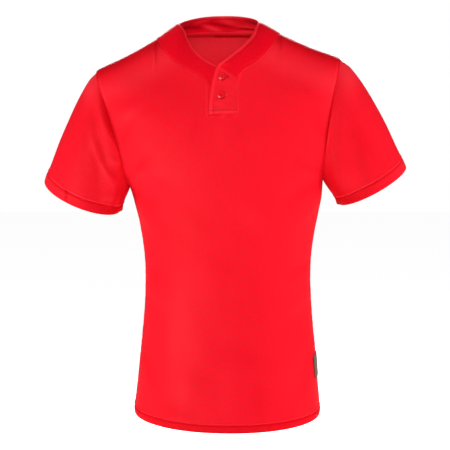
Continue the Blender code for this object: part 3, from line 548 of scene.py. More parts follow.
softShades = {  # painted shade of shallow dents: from, to, half width, how much darker
    "front": (
        (-197, -124, -109, -136, 12, 0.14), (-138, -170, -68, -231, 16, 0.12),
        (-144, -296, -27, -399, 18, 0.1), (-27, -399, 36, -423, 18, 0.1), (0, -550, 86, -587, 20, 0.1),
        (-60, -588, -20, -628, 24, 0.12), (-104, -668, -52, -672, 13, 0.2), (143, -89, 188, -157, 13, 0.12),
    ),
    "back": (
        (-150, -150, -84, -206, 16, 0.2), (152, -140, 92, -214, 17, 0.2), (-120, -330, -20, -410, 19, 0.18),
        (40, -560, 96, -610, 22, 0.25), (-90, -600, -40, -640, 20, 0.22),
    ),
}
sleeveCreases = {  # from round and along, to round and along in mm, half width, depth
    "right": (
        (144, 34, 116, 140, 14, -1.3), (142, 30, 118, 37, 8, -1.2), (118, 37, 84, 46, 7.5, -1.3),
        (130, 54, 104, 56, 6, 1.4), (104, 56, 66, 42, 6, 1.7), (92, 33, 74, 7, 3.2, 2.2),
        (88, 43, 68, 22, 5.5, -2.1), (60, 30, 48, 70, 5, -2.2), (50, 44, 78, 84, 5, 1.5),
        (18, 34, 44, 90, 6, 1.6), (8, 70, 30, 128, 5.5, -1.4), (384, 30, 352, 110, 7, -1.5),
        (364, 16, 320, 92, 8.5, 1.3), (330, 20, 292, 100, 10, -1.1),
    ),
    "left": (
        (20, 30, 42, 100, 6.5, 1.4), (40, 20, 70, 110, 7, -1.2), (10, 66, 28, 126, 5.5, -1.2),
        (64, 40, 96, 118, 9, 1), (120, 50, 132, 132, 12, -1), (384, 30, 354, 110, 7, -1.5),
        (362, 18, 322, 96, 8.5, 1.3), (328, 20, 296, 100, 10, -1.1),
    ),
}
bandCreases = (  # from and to in mm along the back's middle line and up from the seam, half width, depth
    (-61, 20, -28, 12, 4.5, 1.3), (-27, 18, 4, 4, 3.2, -1.5), (-22, 22, 27, 11, 3, 1.2),
    (30, 9.5, 76, 11, 1.9, 1.9), (53, 31, 97, 24, 2.6, 1.7), (2, 27, 30, 22, 5.5, -1),
    (24, 4.5, 80, 4.5, 2, -1.2), (34, 16, 78, 18, 3.4, -0.9), (-78, 12, -52, 27, 4, 1.1),
    (-50, 30, -20, 31, 3.5, -0.8),
)


def pucker(distance, along, phase):
    reach = distance / seamLook["puckerReach"]
    ripple = wobble(along, seamLook["puckerWave"], phase)
    return seamLook["puckerDepth"] * ripple * 2.6 * reach * np.exp(-reach * 1.3)


def hemForm(distance, line, roll, along, phase):
    # the stitched groove, the ridge above it, and the edge that rolls inwards
    form = -seamLook["hemGroove"] * gully(distance - line + 0.9, 1.1)
    form += seamLook["hemRidge"] * gully(distance - line - 1.6, 1.5)
    form += seamLook["hemStep"] * smoothStep((line - 1.2 - distance) / 3.0)
    form -= roll * np.clip(1 - distance / (0.7 * line), 0, 1) ** 1.6
    form -= 0.6 * gully(distance, 0.8)
    return form + 0.3 * wobble(along, 21.0, phase) * gully(distance - line, 9.0)


def hemShade(distance, line, amount, ridge):
    # painted shade: darker where the cloth is doubled and lets less light through, darkest in its stitched
    # groove, with a painted highlight on the ridge just above it
    shade = amount * smoothStep((line + 0.3 - distance) / 0.8)
    shade += shadeLook["groove"] * gully(distance - line + 1.2, 1.2)
    return shade - ridge * gully(distance - line - 1.4, 1.1)


def straightGrain(grid, face):
    # cloth coordinates in mm: round the body from its middle, and up from the hem
    low, high, step, turnSteps = -720.0, 30.0, 5.0, 120
    levels = np.linspace(low, high, int((high - low) / step) + 1)
    turns = (0.5 - 0.5 * np.cos(math.pi * np.linspace(0, 1, turnSteps + 1)))[None]
    right, left = (edgeAcross(levels, side, face)[:, None] for side in ("right", "left"))
    sheet = onBody(right + (left - right) * turns, levels[:, None] + 0 * turns, face)
    around = lineLengths(sheet, 1)
    middle = turnSteps // 2
    places = np.stack([around - around[:, middle : middle + 1], lineLengths(sheet, 0)], -1)
    height = grid[..., 2]
    right, left = (edgeAcross(height, side, face) for side in ("right", "left"))
    share = np.clip((grid[..., 0] - right) / (left - right), 0, 1)
    return sampleGrid(places, (height - low) / step, np.arccos(1 - 2 * share) / math.pi * turnSteps)


def slitDistance(grid):
    right, left = neckShape["seamRight"][-1][0], neckShape["seamLeft"][-1][0]
    across = np.maximum(np.maximum(right - grid[..., 0], grid[..., 0] - left), 0)
    down = np.maximum(placketShape["edge"][-1][1] - grid[..., 2], 0)
    return np.hypot(across, down)


def dressPanel(grid, face):
    normals = outward(grid, signs[face])
    up = lineLengths(grid, 0)
    across = lineLengths(grid, 1)
    fromRight = across
    fromLeft = across[:, -1:] - across
    fromTop = up[-1:] - up
    seam = np.minimum(np.minimum(fromRight, fromLeft), fromTop)
    if face == "front":
        seam = np.minimum(seam, slitDistance(grid))
    form = seamLook["rise"] * (1 - gully(seam, seamLook["width"]))
    creases = foldHeight(smallCreases[face], grid[..., 0], grid[..., 2]) * smoothStep(seam / 10)
    form += creases
    form += pucker(fromRight, up, 0.4) + pucker(fromLeft, up, 1.9)
    form += 0.7 * pucker(fromTop, across, 2.6) * smoothStep(up / 60)
    slow = wobble(grid[..., 0] + 0.3 * grid[..., 2], 118.0, 0.7) * wobble(grid[..., 2], 151.0, 2.0)
    form += 0.55 * slow * smoothStep(seam / 40) * smoothStep(up / 40)
    # beside the lower armhole the cloth stands up a little, and all along it its edge does
    level = np.arange(len(grid))[:, None] - (len(hemRows) + span["side"] - 1)
    lowArm = smoothStep(level / (2.0 * fine)) * smoothStep((7.5 * fine - level) / (3.0 * fine))
    armhole = smoothStep((level - 1.0 * fine) / (3.0 * fine))
    for edge in (fromRight, fromLeft):
        form += seamLook["flare"] * lowArm * (1 - gully(edge, 4.0)) * gully(edge - 5.0, 14.0)
        form += seamLook["lip"] * armhole * gully(edge - 2.4, seamLook["lipWidth"])
    form += hemForm(up, hemLine, seamLook["hemRoll"], across, 0.9)
    # the shoulders turn back sharply under the seam on their ridge
    columns = np.arange(grid.shape[1])
    fromEnd = np.minimum(columns, columns[::-1]) / fine
    shoulder = smoothStep((cells["shoulder"] + 1.5 - fromEnd) / 2.5)
    form += seamLook["shoulderTurn"] * shoulder * (1 - gully(fromTop, 12.0)) * gully(fromTop - 34.0, 26.0)
    # painted shade over the doubled hem, more in its middle than at its sides
    middle = np.minimum(across, fromLeft) / across[:, -1:] * 2
    amount = shadeLook["hemShadeSide"] + (shadeLook["hemShadeMiddle"] - shadeLook["hemShadeSide"]) * smoothStep(middle / 0.6)
    shade = hemShade(up, hemLine, amount, shadeLook["hemRidge"])
    # painted shade along the side and armhole seams and along the neck seam
    shade += shadeLook["seam"] * gully(np.minimum(fromRight, fromLeft), 1.2)
    shade += shadeLook["neckSeamShade"] * gully(seam, 1.2)
    # painted light on the creases' ridges and painted shade in their troughs
    shade -= shadeLook["creaseShade"] * creases
    # painted shade of shallow dents
    shade += foldHeight(softShades[face], grid[..., 0], grid[..., 2])
    # painted highlight on the lip standing up beside the seams
    shade -= shadeLook["lip"] * gully(seam - 2.8, 1.1) * smoothStep((up - 30) / 10)
    # painted shadow along the shoulder tops and painted light on the chest just below
    drop = ridgeAt(grid[..., 0]) - grid[..., 2]
    strip = (0.35 + 0.65 * smoothStep(drop / 4)) * (1 - smoothStep((drop - 7) / shadeLook["shoulderShadeReach"]))
    shade += shadeLook["shoulder"] * strip - shadeLook["chestLight"] * gully(drop - 48, 22)
    return grid + normals * form[..., None], shade


sleeveLook = {  # the fold beside the front of the armhole: depth, width, place and reach along it
    "right": {"fold": (6.5, 15.0, 118.0, 26.0), "headDrop": 2.4, "nick": 124.0},
    "left": {"fold": (4.0, 7.0, 92.0, 30.0), "headDrop": 2.0, "nick": 244.0},
    "narrow": 4.0,  # width of the fold away from the lower armhole
}


def dressSleeve(grid, side):
    # the first column comes again at the end, at the underarm seam
    look = sleeveLook[side]
    girth = sleeveShape["girth"]
    normals = outward(grid, signs[side], wrap=True)
    grid = np.concatenate([grid, grid[:, :1]], axis=1)
    normals = np.concatenate([normals, normals[:, :1]], axis=1)
    along = lineLengths(grid, 0)
    around = lineLengths(grid, 1)
    toCuff = along[-1:] - along
    underarm = np.minimum(around, around[:, -1:] - around)
    turn = np.arange(grid.shape[1]) / (grid.shape[1] - 1)
    u = turn * girth + 0 * along
    form = seamLook["rise"] * (1 - gully(along, seamLook["width"]))
    form *= 1 - 0.9 * gully(underarm, seamLook["width"])
    # the sleeve swells over the lower armhole and leaves a deep fold there
    deep, widest, place, reach = look["fold"]
    lowFront = gully(u - place, reach)
    lowBack = gully(u - girth + place, reach)
    low = lowFront + lowBack
    wide = sleeveLook["narrow"] + (widest - sleeveLook["narrow"]) * low
    swell = (1 - gully(along, 0.7 * wide)) * gully(along - 1.1 * wide, 1.2 * wide)
    form += deep * (lowFront + 0.8 * lowBack) * swell
    # the head of the sleeve drops away just past the shoulder seam
    head = smoothStep((turn - 0.32) / 0.12) * smoothStep((0.68 - turn) / 0.12)
    form -= look["headDrop"] * head * smoothStep(along / 3.0) * gully(along - 5.0, 11.0)
    creases = foldHeight(sleeveCreases[side], u, along) * smoothStep(along / 8) * smoothStep(toCuff / 24)
    # a short crease across the hem
    across = gully(u - look["nick"] - 0.3 * toCuff, 1.8) * smoothStep((22.0 - toCuff) / 3.0)
    form += creases - 0.9 * across
    form += 1.2 * pucker(along, around, 0.8)
    slow = wobble(u, 96.0, 1.2) * wobble(along, 120.0, 0.3)
    form += 0.5 * slow * smoothStep(along / 30) * smoothStep(toCuff / 30)
    form += hemForm(toCuff, cuffLine, seamLook["cuffRoll"], around, 2.2)
    # at the underarm the cuff's edge stands out, and the cloth above it falls in
    form += 3.6 * gully(underarm, 6.5) * smoothStep((12.0 - toCuff) / 12.0)
    form -= 2.4 * gully(underarm, 18.0) * gully(toCuff - 24.0, 13.0)
    form[:, [0, -1]] = form[:, [0, -1]].mean(axis=1, keepdims=True)
    # painted shade under the cuff and painted light at its outer end, with a painted highlight on the ridge
    # above its groove
    outer = (1 - np.cos(2 * math.pi * turn)) / 2
    amount = shadeLook["cuffUnderShade"] + (shadeLook["cuffOuterLight"] - shadeLook["cuffUnderShade"]) * outer
    shade = hemShade(toCuff, cuffLine, amount, shadeLook["cuffRidgeHighlight"])
    # painted shade along the armhole seam, more beside the lower armhole
    shade += (0.35 + 0.65 * low) * shadeLook["seam"] * gully(along, 1.3)
    # painted shade in the fold beside the lower armhole and a painted highlight on its far edge
    shade += shadeLook["armFoldShade"] * low * gully(along - 0.38 * wide, 0.5 * wide)
    shade -= shadeLook["armFoldEdgeHighlight"] * low * gully(along - 1.15 * wide, 0.25 * wide)
    # painted shade in the crease across the hem, and the creases painted as on the panels
    shade += shadeLook["nick"] * across - shadeLook["creaseShade"] * creases
    # painted shade beside the underarm seam just above the cuff
    shade += shadeLook["armpit"] * gully(underarm, 26.0) * gully(toCuff - 22.0, 26.0)
    shade -= shadeLook["capLight"] * head * gully(along - 18.0, 26.0)
    return grid + normals * form[..., None], normals, shade


bandRows = 24  # scene cells across the band
bandLook = {
    "thick": 1.9,
    "rise": 1.2,  # how far the doubled band stands above its seam
    "strip": {"right": 4.4, "left": 6.4},  # width of the topstitched edge
    "groove": 0.55,
    "pitch": 3.8,  # between the grid's columns along the back, for the creases
}


def bandLift(columns):
    # the band's last part lies on the placket's over layer
    start = columns - 1 - span["neck"]
    share = np.clip((np.arange(columns) - start) / span["neck"], 0, 1)
    return smoothStep((share - 0.25) / 0.35) * placketShape["lift"]


def dressBand(grid):
    normals = outward(grid, -1.0)
    along = lineLengths(grid, 1)
    across = lineLengths(grid, 0)
    toEdge = across[-1:] - across
    columns = grid.shape[1]
    share = np.arange(columns) / (columns - 1)
    strip = fromSides(bandLook["strip"], smoothStep((share - 0.55) / 0.2))
    form = bandLook["rise"] * (1 - gully(across, 1.8))
    form += 0.5 * (1 - smoothStep(toEdge / strip)) * (1 - gully(toEdge, 1.2))
    form -= bandLook["groove"] * gully(toEdge - strip, 0.9)
    form -= 0.7 * gully(toEdge, 0.9)
    u = (np.arange(columns) - bandStart - span["backNeck"] / 2) * bandLook["pitch"] + 0 * across
    creases = foldHeight(bandCreases, u, across) * smoothStep(across / 3) * smoothStep(toEdge / 5)
    form += creases + 0.8 * pucker(across, along, 1.4)
    form += 0.12 * wobble(along, 9.0, 0.2) * gully(toEdge - strip, 3.0)
    ends = np.minimum(along, along[:, -1:] - along)
    form *= 0.25 + 0.75 * smoothStep(ends / 12)
    form += bandLift(columns)
    # painted shade at the band's seam and in the groove of its topstitching, painted light on its edge strip
    shade = shadeLook["neckSeamShade"] * gully(across, 1.2) + 0.5 * gully(toEdge - strip, 0.9)
    shade -= 0.75 * (1 - smoothStep((toEdge - strip + 1.5) / 1.0))
    # inside: painted shade in the creases' furrows and painted light on their ridges, a little lighter
    # overall
    within = shade + 0.7 * creases - 0.1
    return grid + normals * form[..., None], normals, strip, shade, within


def newPiece(name, points, faces, material, sharp=None):
    mesh = bpy.data.meshes.new(name)
    mesh.from_pydata((np.asarray(points) * mm).tolist(), [], faces)
    mesh.validate()
    mesh.shade_smooth()
    if sharp:
        mesh.set_sharp_from_angle(angle=math.radians(sharp))
    mesh.materials.append(material)
    piece = bpy.data.objects.new(name, mesh)
    bpy.context.scene.collection.objects.link(piece)
    return piece


def addToFrame(piece, node=None):
    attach(piece, "root")
    if node:
        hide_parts(node)
    return piece


def innerSkin(outer, normals, thick):
    return outer - normals * thick[..., None]


def makeShell(name, outer, inner, material, shade=None, innerShade=None, weave=None, hole=None, flip=False):
    # two skins, joined by a narrow wall at every free edge
    rows, columns = outer.shape[:2]
    count = rows * columns
    index = np.arange(count).reshape(rows, columns)
    quads = np.stack([index[:-1, :-1], index[:-1, 1:], index[1:, 1:], index[1:, :-1]], -1)
    keep = np.ones((rows - 1, columns - 1), bool)
    if hole is not None:
        keep[hole] = False
    quads = quads[keep]
    if flip:
        quads = quads[:, ::-1]
    ends = np.concatenate([quads[:, [k, (k + 1) % 4]] for k in range(4)])
    shared = np.isin(ends[:, 0] * count + ends[:, 1], ends[:, 1] * count + ends[:, 0])
    start, end = ends[~shared].T
    walls = np.stack([end, start, start + count, end + count], -1)
    used, faces = np.unique(np.concatenate([quads, quads[:, ::-1] + count, walls]), return_inverse=True)
    points = np.concatenate([outer.reshape(-1, 3), inner.reshape(-1, 3)])
    piece = newPiece(name, points[used], faces.reshape(-1, 4).tolist(), material, sharp=50)
    mesh = piece.data
    if weave is None:
        weave = np.stack([lineLengths(outer, 1), lineLengths(outer, 0)], -1)
    places = np.tile(weave.reshape(-1, 2), (2, 1))[used] * mm
    corners = np.empty(len(mesh.loops), np.int32)
    mesh.loops.foreach_get("vertex_index", corners)
    mesh.uv_layers.new(name="weave").data.foreach_set("uv", places[corners].astype(np.float32).ravel())
    if shade is not None:
        both = np.concatenate([shade.ravel(), (shade if innerShade is None else innerShade).ravel()])
        marks = mesh.attributes.new("shade", "FLOAT", "POINT")
        marks.data.foreach_set("value", both[used].astype(np.float32))
    return piece


def addTube(points, faces, path, first, second, radius, sides):
    # a closed round tube along the path; first and second span its section
    base = len(points)
    last = base + (len(path) - 1) * sides
    for k in range(len(path)):
        for turn in range(sides):
            angle = 2 * math.pi * turn / sides
            points.append(path[k] + radius * (math.cos(angle) * first[k] + math.sin(angle) * second[k]))
    for start in range(base, last, sides):
        for turn in range(sides):
            a, b = start + turn, start + (turn + 1) % sides
            faces.append((a, b, b + sides, a + sides))
    faces.append(tuple(range(base, base + sides))[::-1])
    faces.append(tuple(range(last, last + sides)))


threadLook = {  # length of a stitch, gap and radius in mm
    "hem": (2.7, 0.8, 0.2),
    "neck": (2.2, 0.7, 0.17),
    "bury": 0.35,  # how far a stitch's ends sink into the cloth
    "rings": 5,
    "sides": 5,
    # the buttonhole thread is painted darker than the sewing thread, standing in for the shade at the
    # buttonholes
    "colours": {"sewingThread": (0.88, 0.004, 0.018), "buttonholeThread": (0.5, 0.0008, 0.006)},
}


def stitchRows(name, lines, kind):
    # each line is (points, normals); every stitch is a short bowed thread
    stitch, gap, radius = threadLook[kind]
    rings = threadLook["rings"]
    lift = radius * 0.8 - threadLook["bury"] * (1 - np.sin(np.linspace(0, math.pi, rings)))
    points, faces = [], []
    for path, normals in lines:
        length = lengthsAlong(path)
        for start in np.arange(gap, length[-1] - stitch, stitch + gap):
            at = start + np.linspace(0, stitch, rings)
            line = np.stack([np.interp(at, length, path[:, k]) for k in range(3)], -1)
            up = unit(np.stack([np.interp(at, length, normals[:, k]) for k in range(3)], -1))
            side = np.cross(up, unit(line[-1] - line[0]))
            addTube(points, faces, line + up * lift[:, None], side, up, radius, threadLook["sides"])
    return newPiece(name, points, faces, thread)


def strandPiece(name, paths, radius, material, sides):
    # round threads that follow given paths
    aslant = np.array([0.31, 0.42, 0.85])  # a direction that no path takes
    points, faces = [], []
    for path in paths:
        way = unit(np.gradient(path, axis=0))
        side = unit(np.cross(way, aslant))
        addTube(points, faces, path, side, np.cross(way, side), radius, sides)
    return newPiece(name, points, faces, material)


def setInputs(tree, node, values):
    # each value is a number, a colour or another node's output
    for name, value in values.items():
        if isinstance(value, bpy.types.NodeSocket):
            tree.links.new(value, node.inputs[name])
        else:
            node.inputs[name].default_value = value


def addNode(tree, kind, inputs=None, **settings):
    node = tree.nodes.new(kind)
    for name, value in settings.items():
        setattr(node, name, value)
    setInputs(tree, node, inputs or {})
    return node


def calculator(tree):
    def calc(operation, *values):
        return addNode(tree, "ShaderNodeMath", dict(enumerate(values)), operation=operation).outputs[0]

    return calc


def newGroup(name, inputs, outputs):
    # an input without a number is a vector
    tree = bpy.data.node_groups.new(name, "ShaderNodeTree")
    for label, value in inputs.items():
        kind = "NodeSocketVector" if value is None else "NodeSocketFloat"
        socket = tree.interface.new_socket(name=label, in_out="INPUT", socket_type=kind)
        if value is not None:
            socket.default_value = value
    for label in outputs:
        tree.interface.new_socket(name=label, in_out="OUTPUT", socket_type="NodeSocketFloat")
    return tree, addNode(tree, "NodeGroupInput").outputs, addNode(tree, "NodeGroupOutput"), calculator(tree)


def knitWaves(tree, given, calc, pitches):
    # the weave's two directions as angles, a full turn for each loop
    split = addNode(tree, "ShaderNodeSeparateXYZ", {0: given["Weave"]})
    scaled = [calc("MULTIPLY", split.outputs[k], 2 * math.pi * 1000) for k in (0, 1)]
    return [calc("DIVIDE", angle, given[pitch]) for angle, pitch in zip(scaled, pitches)]


def smoothRange(tree, value, low, high):
    limits = {0: value, 1: low, 2: high}
    return addNode(tree, "ShaderNodeMapRange", limits, interpolation_type="SMOOTHSTEP").outputs[0]


def meshKnitGroup():
    # a micro mesh: staggered small holes between fine ribs
    inputs = {"Weave": None, "Pitch": 1.6, "Row": 1.9}
    tree, given, out, calc = newGroup("microMeshKnit", inputs, ("Height", "Hole"))
    u, v = knitWaves(tree, given, calc, ("Pitch", "Row"))
    hole = smoothRange(tree, calc("MULTIPLY", calc("COSINE", u), calc("COSINE", v)), 0.35, 0.95)
    halves = [calc("COSINE", calc("MULTIPLY", angle, 0.5)) for angle in (u, v)]
    wide = calc("MULTIPLY", *halves)
    deep = calc("MULTIPLY", hole, calc("MULTIPLY_ADD", wide, 0.5, 0.5))
    ribs = calc("MULTIPLY", calc("COSINE", calc("MULTIPLY", u, 2.0)), 0.18)
    height = calc("SUBTRACT", ribs, deep)
    setInputs(tree, out, {"Height": height, "Hole": calc("MULTIPLY_ADD", wide, 0.6, deep)})
    return tree


def fineKnitGroup():
    # a close plain knit: fine upright wales crossed by shallow loops
    tree, given, out, calc = newGroup("fineKnit", {"Weave": None, "Pitch": 0.9}, ("Height", "Furrow"))
    u, v = knitWaves(tree, given, calc, ("Pitch", "Pitch"))
    slant = calc("MULTIPLY", calc("ABSOLUTE", calc("SINE", calc("MULTIPLY", u, 0.5))), 2.2)
    loop = calc("MULTIPLY", calc("COSINE", calc("ADD", v, slant)), 0.4)
    height = calc("ADD", calc("MULTIPLY", calc("COSINE", u), 0.6), loop)
    setInputs(tree, out, {"Height": height, "Furrow": smoothRange(tree, height, 0.1, -0.9)})
    return tree


def clothToneGroup():
    # slow and quick unevenness of dye and yarn over the cloth
    inputs = {"Place": None, "Slow": 9.0, "Quick": 420.0}
    tree, given, out, _ = newGroup("clothTone", inputs, ("Shade", "Fuzz"))
    for scale, detail, label in (("Slow", 3.0, "Shade"), ("Quick", 2.0, "Fuzz")):
        values = {"Vector": given["Place"], "Scale": given[scale], "Detail": detail}
        setInputs(tree, out, {label: addNode(tree, "ShaderNodeTexNoise", values).outputs[0]})
    return tree


meshKnit, fineKnit, clothTone = meshKnitGroup(), fineKnitGroup(), clothToneGroup()


def newMaterial(name, slow, quick):
    material = bpy.data.materials.new(name)
    material.use_nodes = True
    tree = material.node_tree
    place = addNode(tree, "ShaderNodeTexCoord").outputs["Object"]
    tone = addNode(tree, "ShaderNodeGroup", node_tree=clothTone)
    setInputs(tree, tone, {"Place": place, "Slow": slow, "Quick": quick})
    return material, tree, tree.nodes["Principled BSDF"], tone.outputs, calculator(tree)


def mixColours(tree, factor, first, second):
    values = {"Factor": factor, "A": first, "B": (*second, 1)}
    return addNode(tree, "ShaderNodeMix", values, data_type="RGBA").outputs["Result"]


# colour is the cloth's own; dark and light are what the painted shade and painted light mix towards, with the
# knit's holes and the random tone
clothLooks = {
    "bodyKnit": {
        "colour": (0.85, 0.0065, 0.018), "dark": (0.6, 0.0001, 0.0035), "light": (0.97, 0.029, 0.046),
        "group": meshKnit, "pitch": 1.9, "mark": 0.6, "bump": 0.35, "depth": 0.0003,
        "roughness": 0.46, "gloss": 0.035, "sheen": 0.11,
    },
    "bandKnit": {
        "colour": (0.8, 0.0014, 0.012), "dark": (0.38, 0.0004, 0.004), "light": (0.95, 0.026, 0.042),
        "group": fineKnit, "pitch": 0.95, "mark": 0.25, "bump": 0.3, "depth": 0.00015,
        "roughness": 0.55, "gloss": 0.05, "sheen": 0.2,
    },
    "placketKnit": {
        "colour": (0.92, 0.008, 0.021), "dark": (0.25, 0.0003, 0.003), "light": (0.96, 0.028, 0.046),
        "group": fineKnit, "pitch": 1.3, "mark": 0.4, "bump": 0.4, "depth": 0.0003,
        "roughness": 0.5, "gloss": 0.12, "sheen": 0.3,
    },
    "tapeWeave": {
        "colour": (0.8, 0.003, 0.014), "dark": (0.2, 0.0002, 0.002), "light": (0.92, 0.02, 0.036),
        "group": fineKnit, "pitch": 0.7, "mark": 0.4, "bump": 0.4, "depth": 0.0002,
        "roughness": 0.7, "gloss": 0.12, "sheen": 0.15,
    },
    "labelWeave": {
        "colour": (0.13, 0.145, 0.11), "dark": (0.1, 0.055, 0.04), "light": (0.22, 0.24, 0.2),
        "group": fineKnit, "pitch": 0.6, "mark": 0.5, "bump": 0.3, "depth": 0.0001,
        "roughness": 0.5, "gloss": 0.12, "sheen": 0.1,
    },
}


def clothMaterial(name):
    look = clothLooks[name]
    material, tree, shader, tone, calc = newMaterial(name, 9.0, 420.0)
    knit = addNode(tree, "ShaderNodeGroup", node_tree=look["group"])
    weave = addNode(tree, "ShaderNodeUVMap", uv_map="weave").outputs[0]
    setInputs(tree, knit, {"Weave": weave, "Pitch": look["pitch"]})
    if "Row" in knit.inputs:
        knit.inputs["Row"].default_value = look["pitch"] * 1.1
    # the knit's holes and the painted shade darken the colour; painted shade below zero is painted light and
    # brightens it
    shade = addNode(tree, "ShaderNodeAttribute", attribute_name="shade").outputs["Fac"]
    amount = calc("MULTIPLY_ADD", tone["Shade"], 1.3, 0.35)
    mark = calc("ADD", calc("MULTIPLY", calc("MULTIPLY", knit.outputs[1], look["mark"]), amount), shade)
    worn = calc("MULTIPLY", calc("SUBTRACT", tone["Shade"], 0.5), 0.3)
    fuzz = calc("MULTIPLY", calc("SUBTRACT", tone["Fuzz"], 0.5), 0.5)
    blend = calc("ADD", calc("ADD", mark, worn), fuzz)
    bright = mixColours(tree, calc("MULTIPLY", blend, -1.0), (*look["colour"], 1), look["light"])
    rough = calc("ADD", calc("MULTIPLY", tone["Fuzz"], 0.16), look["roughness"] - 0.08)
    bare = calc("MAXIMUM", calc("SUBTRACT", 1.0, shade), 0.0)
    height = calc("ADD", knit.outputs["Height"], calc("MULTIPLY", tone["Fuzz"], 0.5))
    bump = {"Strength": look["bump"], "Distance": look["depth"], "Height": height}
    setInputs(tree, shader, {
        "Base Color": mixColours(tree, blend, bright, look["dark"]),
        "Roughness": calc("ADD", rough, calc("MULTIPLY", mark, 0.3)),
        "Sheen Weight": calc("MULTIPLY", bare, look["sheen"]),
        "Sheen Roughness": 0.45,
        "Sheen Tint": (1.0, 0.03, 0.06, 1),
        "Specular IOR Level": look["gloss"],
        "Normal": addNode(tree, "ShaderNodeBump", bump).outputs[0],
    })
    return material


def threadMaterial(name):
    material, tree, shader, tone, _ = newMaterial(name, 9.0, 1500.0)
    colour = threadLook["colours"][name]
    dark = (colour[0] * 0.7, colour[1] * 0.6, colour[2] * 0.6)
    mixed = mixColours(tree, tone["Fuzz"], (*colour, 1), dark)
    setInputs(tree, shader, {"Base Color": mixed, "Roughness": 0.45, "Sheen Weight": 0.2})
    return material


bodyKnit, bandKnit, placketKnit, tapeWeave, labelWeave = (clothMaterial(name) for name in clothLooks)
thread, holeThread = (threadMaterial(name) for name in threadLook["colours"])
print("materials ready")

panelLook = {"thick": 0.9, "hemThick": 1.8}
plainFront, plainBack = panelGrid("front"), panelGrid("back")
hemLines = []  # where the hems' stitches run: points and normals


def clothThick(fromHem, line):
    doubled = smoothStep((line + 2.5 - fromHem) / 2.0)
    thick = panelLook["thick"] + (panelLook["hemThick"] - panelLook["thick"]) * doubled
    return thick * (1 - 0.55 * gully(fromHem, 0.8))


def buildPanel(name, plain, face, hole=None):
    dressed, shade = dressPanel(plain, face)
    normals = outward(dressed, signs[face])
    up = lineLengths(plain, 0)
    inner = innerSkin(dressed, normals, clothThick(up, hemLine))
    within = shade
    if face == "back":
        # painted shadow on the inside of the back under the neck tape, and painted light further into the
        # neck
        fromTop = up[-1:] - up
        strong = 0.55 + 0.9 * smoothStep((plain[..., 0] + 14.0) / 10.0)
        within = shade + shadeLook["underTapeShadow"] * strong * gully(fromTop - 6.4, 1.9)
        within -= shadeLook["insideNeckLight"] * smoothStep((110.0 - fromTop) / 40.0)
    weave = straightGrain(plain, face)
    piece = makeShell(name, dressed, inner, bodyKnit, shade, within, weave, hole, flip=signs[face] < 0)
    addToFrame(piece, face)
    row = hemRows.index(hemLine)
    hemLines.append((dressed[row], normals[row]))
    return dressed, normals


placketGap = (slice(slitRow, None), slice(slitStart, slitEnd))
dressedFront, frontNormals = buildPanel("frontPanel", plainFront, "front", placketGap)
buildPanel("backPanel", plainBack, "back")
print("body panels ready")

for side in ("right", "left"):
    plainSleeve = sleeveGrid(armholeRing(plainFront, plainBack, side), side)
    dressed, normals, shade = dressSleeve(plainSleeve, side)
    toCuff = lineLengths(dressed, 0)[-1:] - lineLengths(dressed, 0)
    fresh = outward(dressed, signs[side])
    row = len(dressed) - 1 - cuffRows.index(cuffLine)
    hemLines.append((dressed[row], fresh[row].copy()))
    fresh[:, [0, -1]] = normals[:, [0, -1]]
    inner = innerSkin(dressed, fresh, clothThick(toCuff, cuffLine))
    around = lineLengths(dressed, 1)
    weave = np.stack([around - around[:, 60:61], toCuff], -1)
    name = f"sleeve{side.capitalize()}Cloth"
    piece = makeShell(name, dressed, inner, bodyKnit, shade, weave=weave, flip=signs[side] < 0)
    addToFrame(piece, f"sleeve_{side}")
print("sleeves ready")

plainBand = bandGrid(plainFront, plainBack, bandRows)
dressedBand, bandNormals, bandStrip, bandShade, bandWithin = dressBand(plainBand)
bandAcross = lineLengths(plainBand, 0)
bandToEdge = bandAcross[-1:] - bandAcross
bandThick = bandLook["thick"] * (1 - 0.6 * gully(bandToEdge, 1.0)) * (0.5 + 0.5 * smoothStep(bandAcross / 4))
bandInner = innerSkin(dressedBand, bandNormals, bandThick)
bandPiece = makeShell("neckBandCloth", dressedBand, bandInner, bandKnit, bandShade, bandWithin, flip=True)
addToFrame(bandPiece, "neck_band")
print("neck band ready")

placketLook = {
    "thick": 1.3,
    "underThick": 0.9,
    "strip": 8.5,  # from the free edge to its topstitching
    "rows": 40,
    "seamStitch": 2.0,
    "stitchUp": ((1.2, 0.3), (6.6, 0.9)),  # height over the lower end, depth of the groove
    "holeEndShadeSpot": (14.2, -81.5, 1.7),  # across, height and width of the painted shade at the upper buttonhole's end
    "holeEndShade": 1.3,
}
placketCreases = (  # from, to, half width, depth
    (14, -84, 28, -80, 2.2, -0.8), (-4, -78, 6, -69, 2, -0.8), (11, -115, 26, -108, 2.4, -0.8),
    (-7, -108, -2, -98, 2.2, -0.7), (-6, -124, 14, -130, 4, 0.6),
)
buttonPlaces = {  # across, height, turn of the two holes in degrees
    "top": (4.5, -81.0, 4.0),
    "bottom": (3.2, -112.4, 90.0),
}


def placketGrid():
    part = shares(placketLook["rows"])[:-1]
    edge, seam = (alongCurve(placketShape[line][::-1], part)[:, None] for line in ("edge", "seam"))
    place = edge + (seam - edge) * shares(bandRows)[None, :, None]
    return np.concatenate([onBody(place[..., 0], place[..., 1], "front"), plainBand[:, -1][::-1][None]])


plainPlacket = placketGrid()
placketNormals = outward(plainPlacket, 1.0)
placketUp = lineLengths(plainPlacket, 0)
placketAcross = lineLengths(plainPlacket, 1)
placketToSeam = placketAcross[:, -1:] - placketAcross
toStrip = placketAcross - placketLook["strip"]


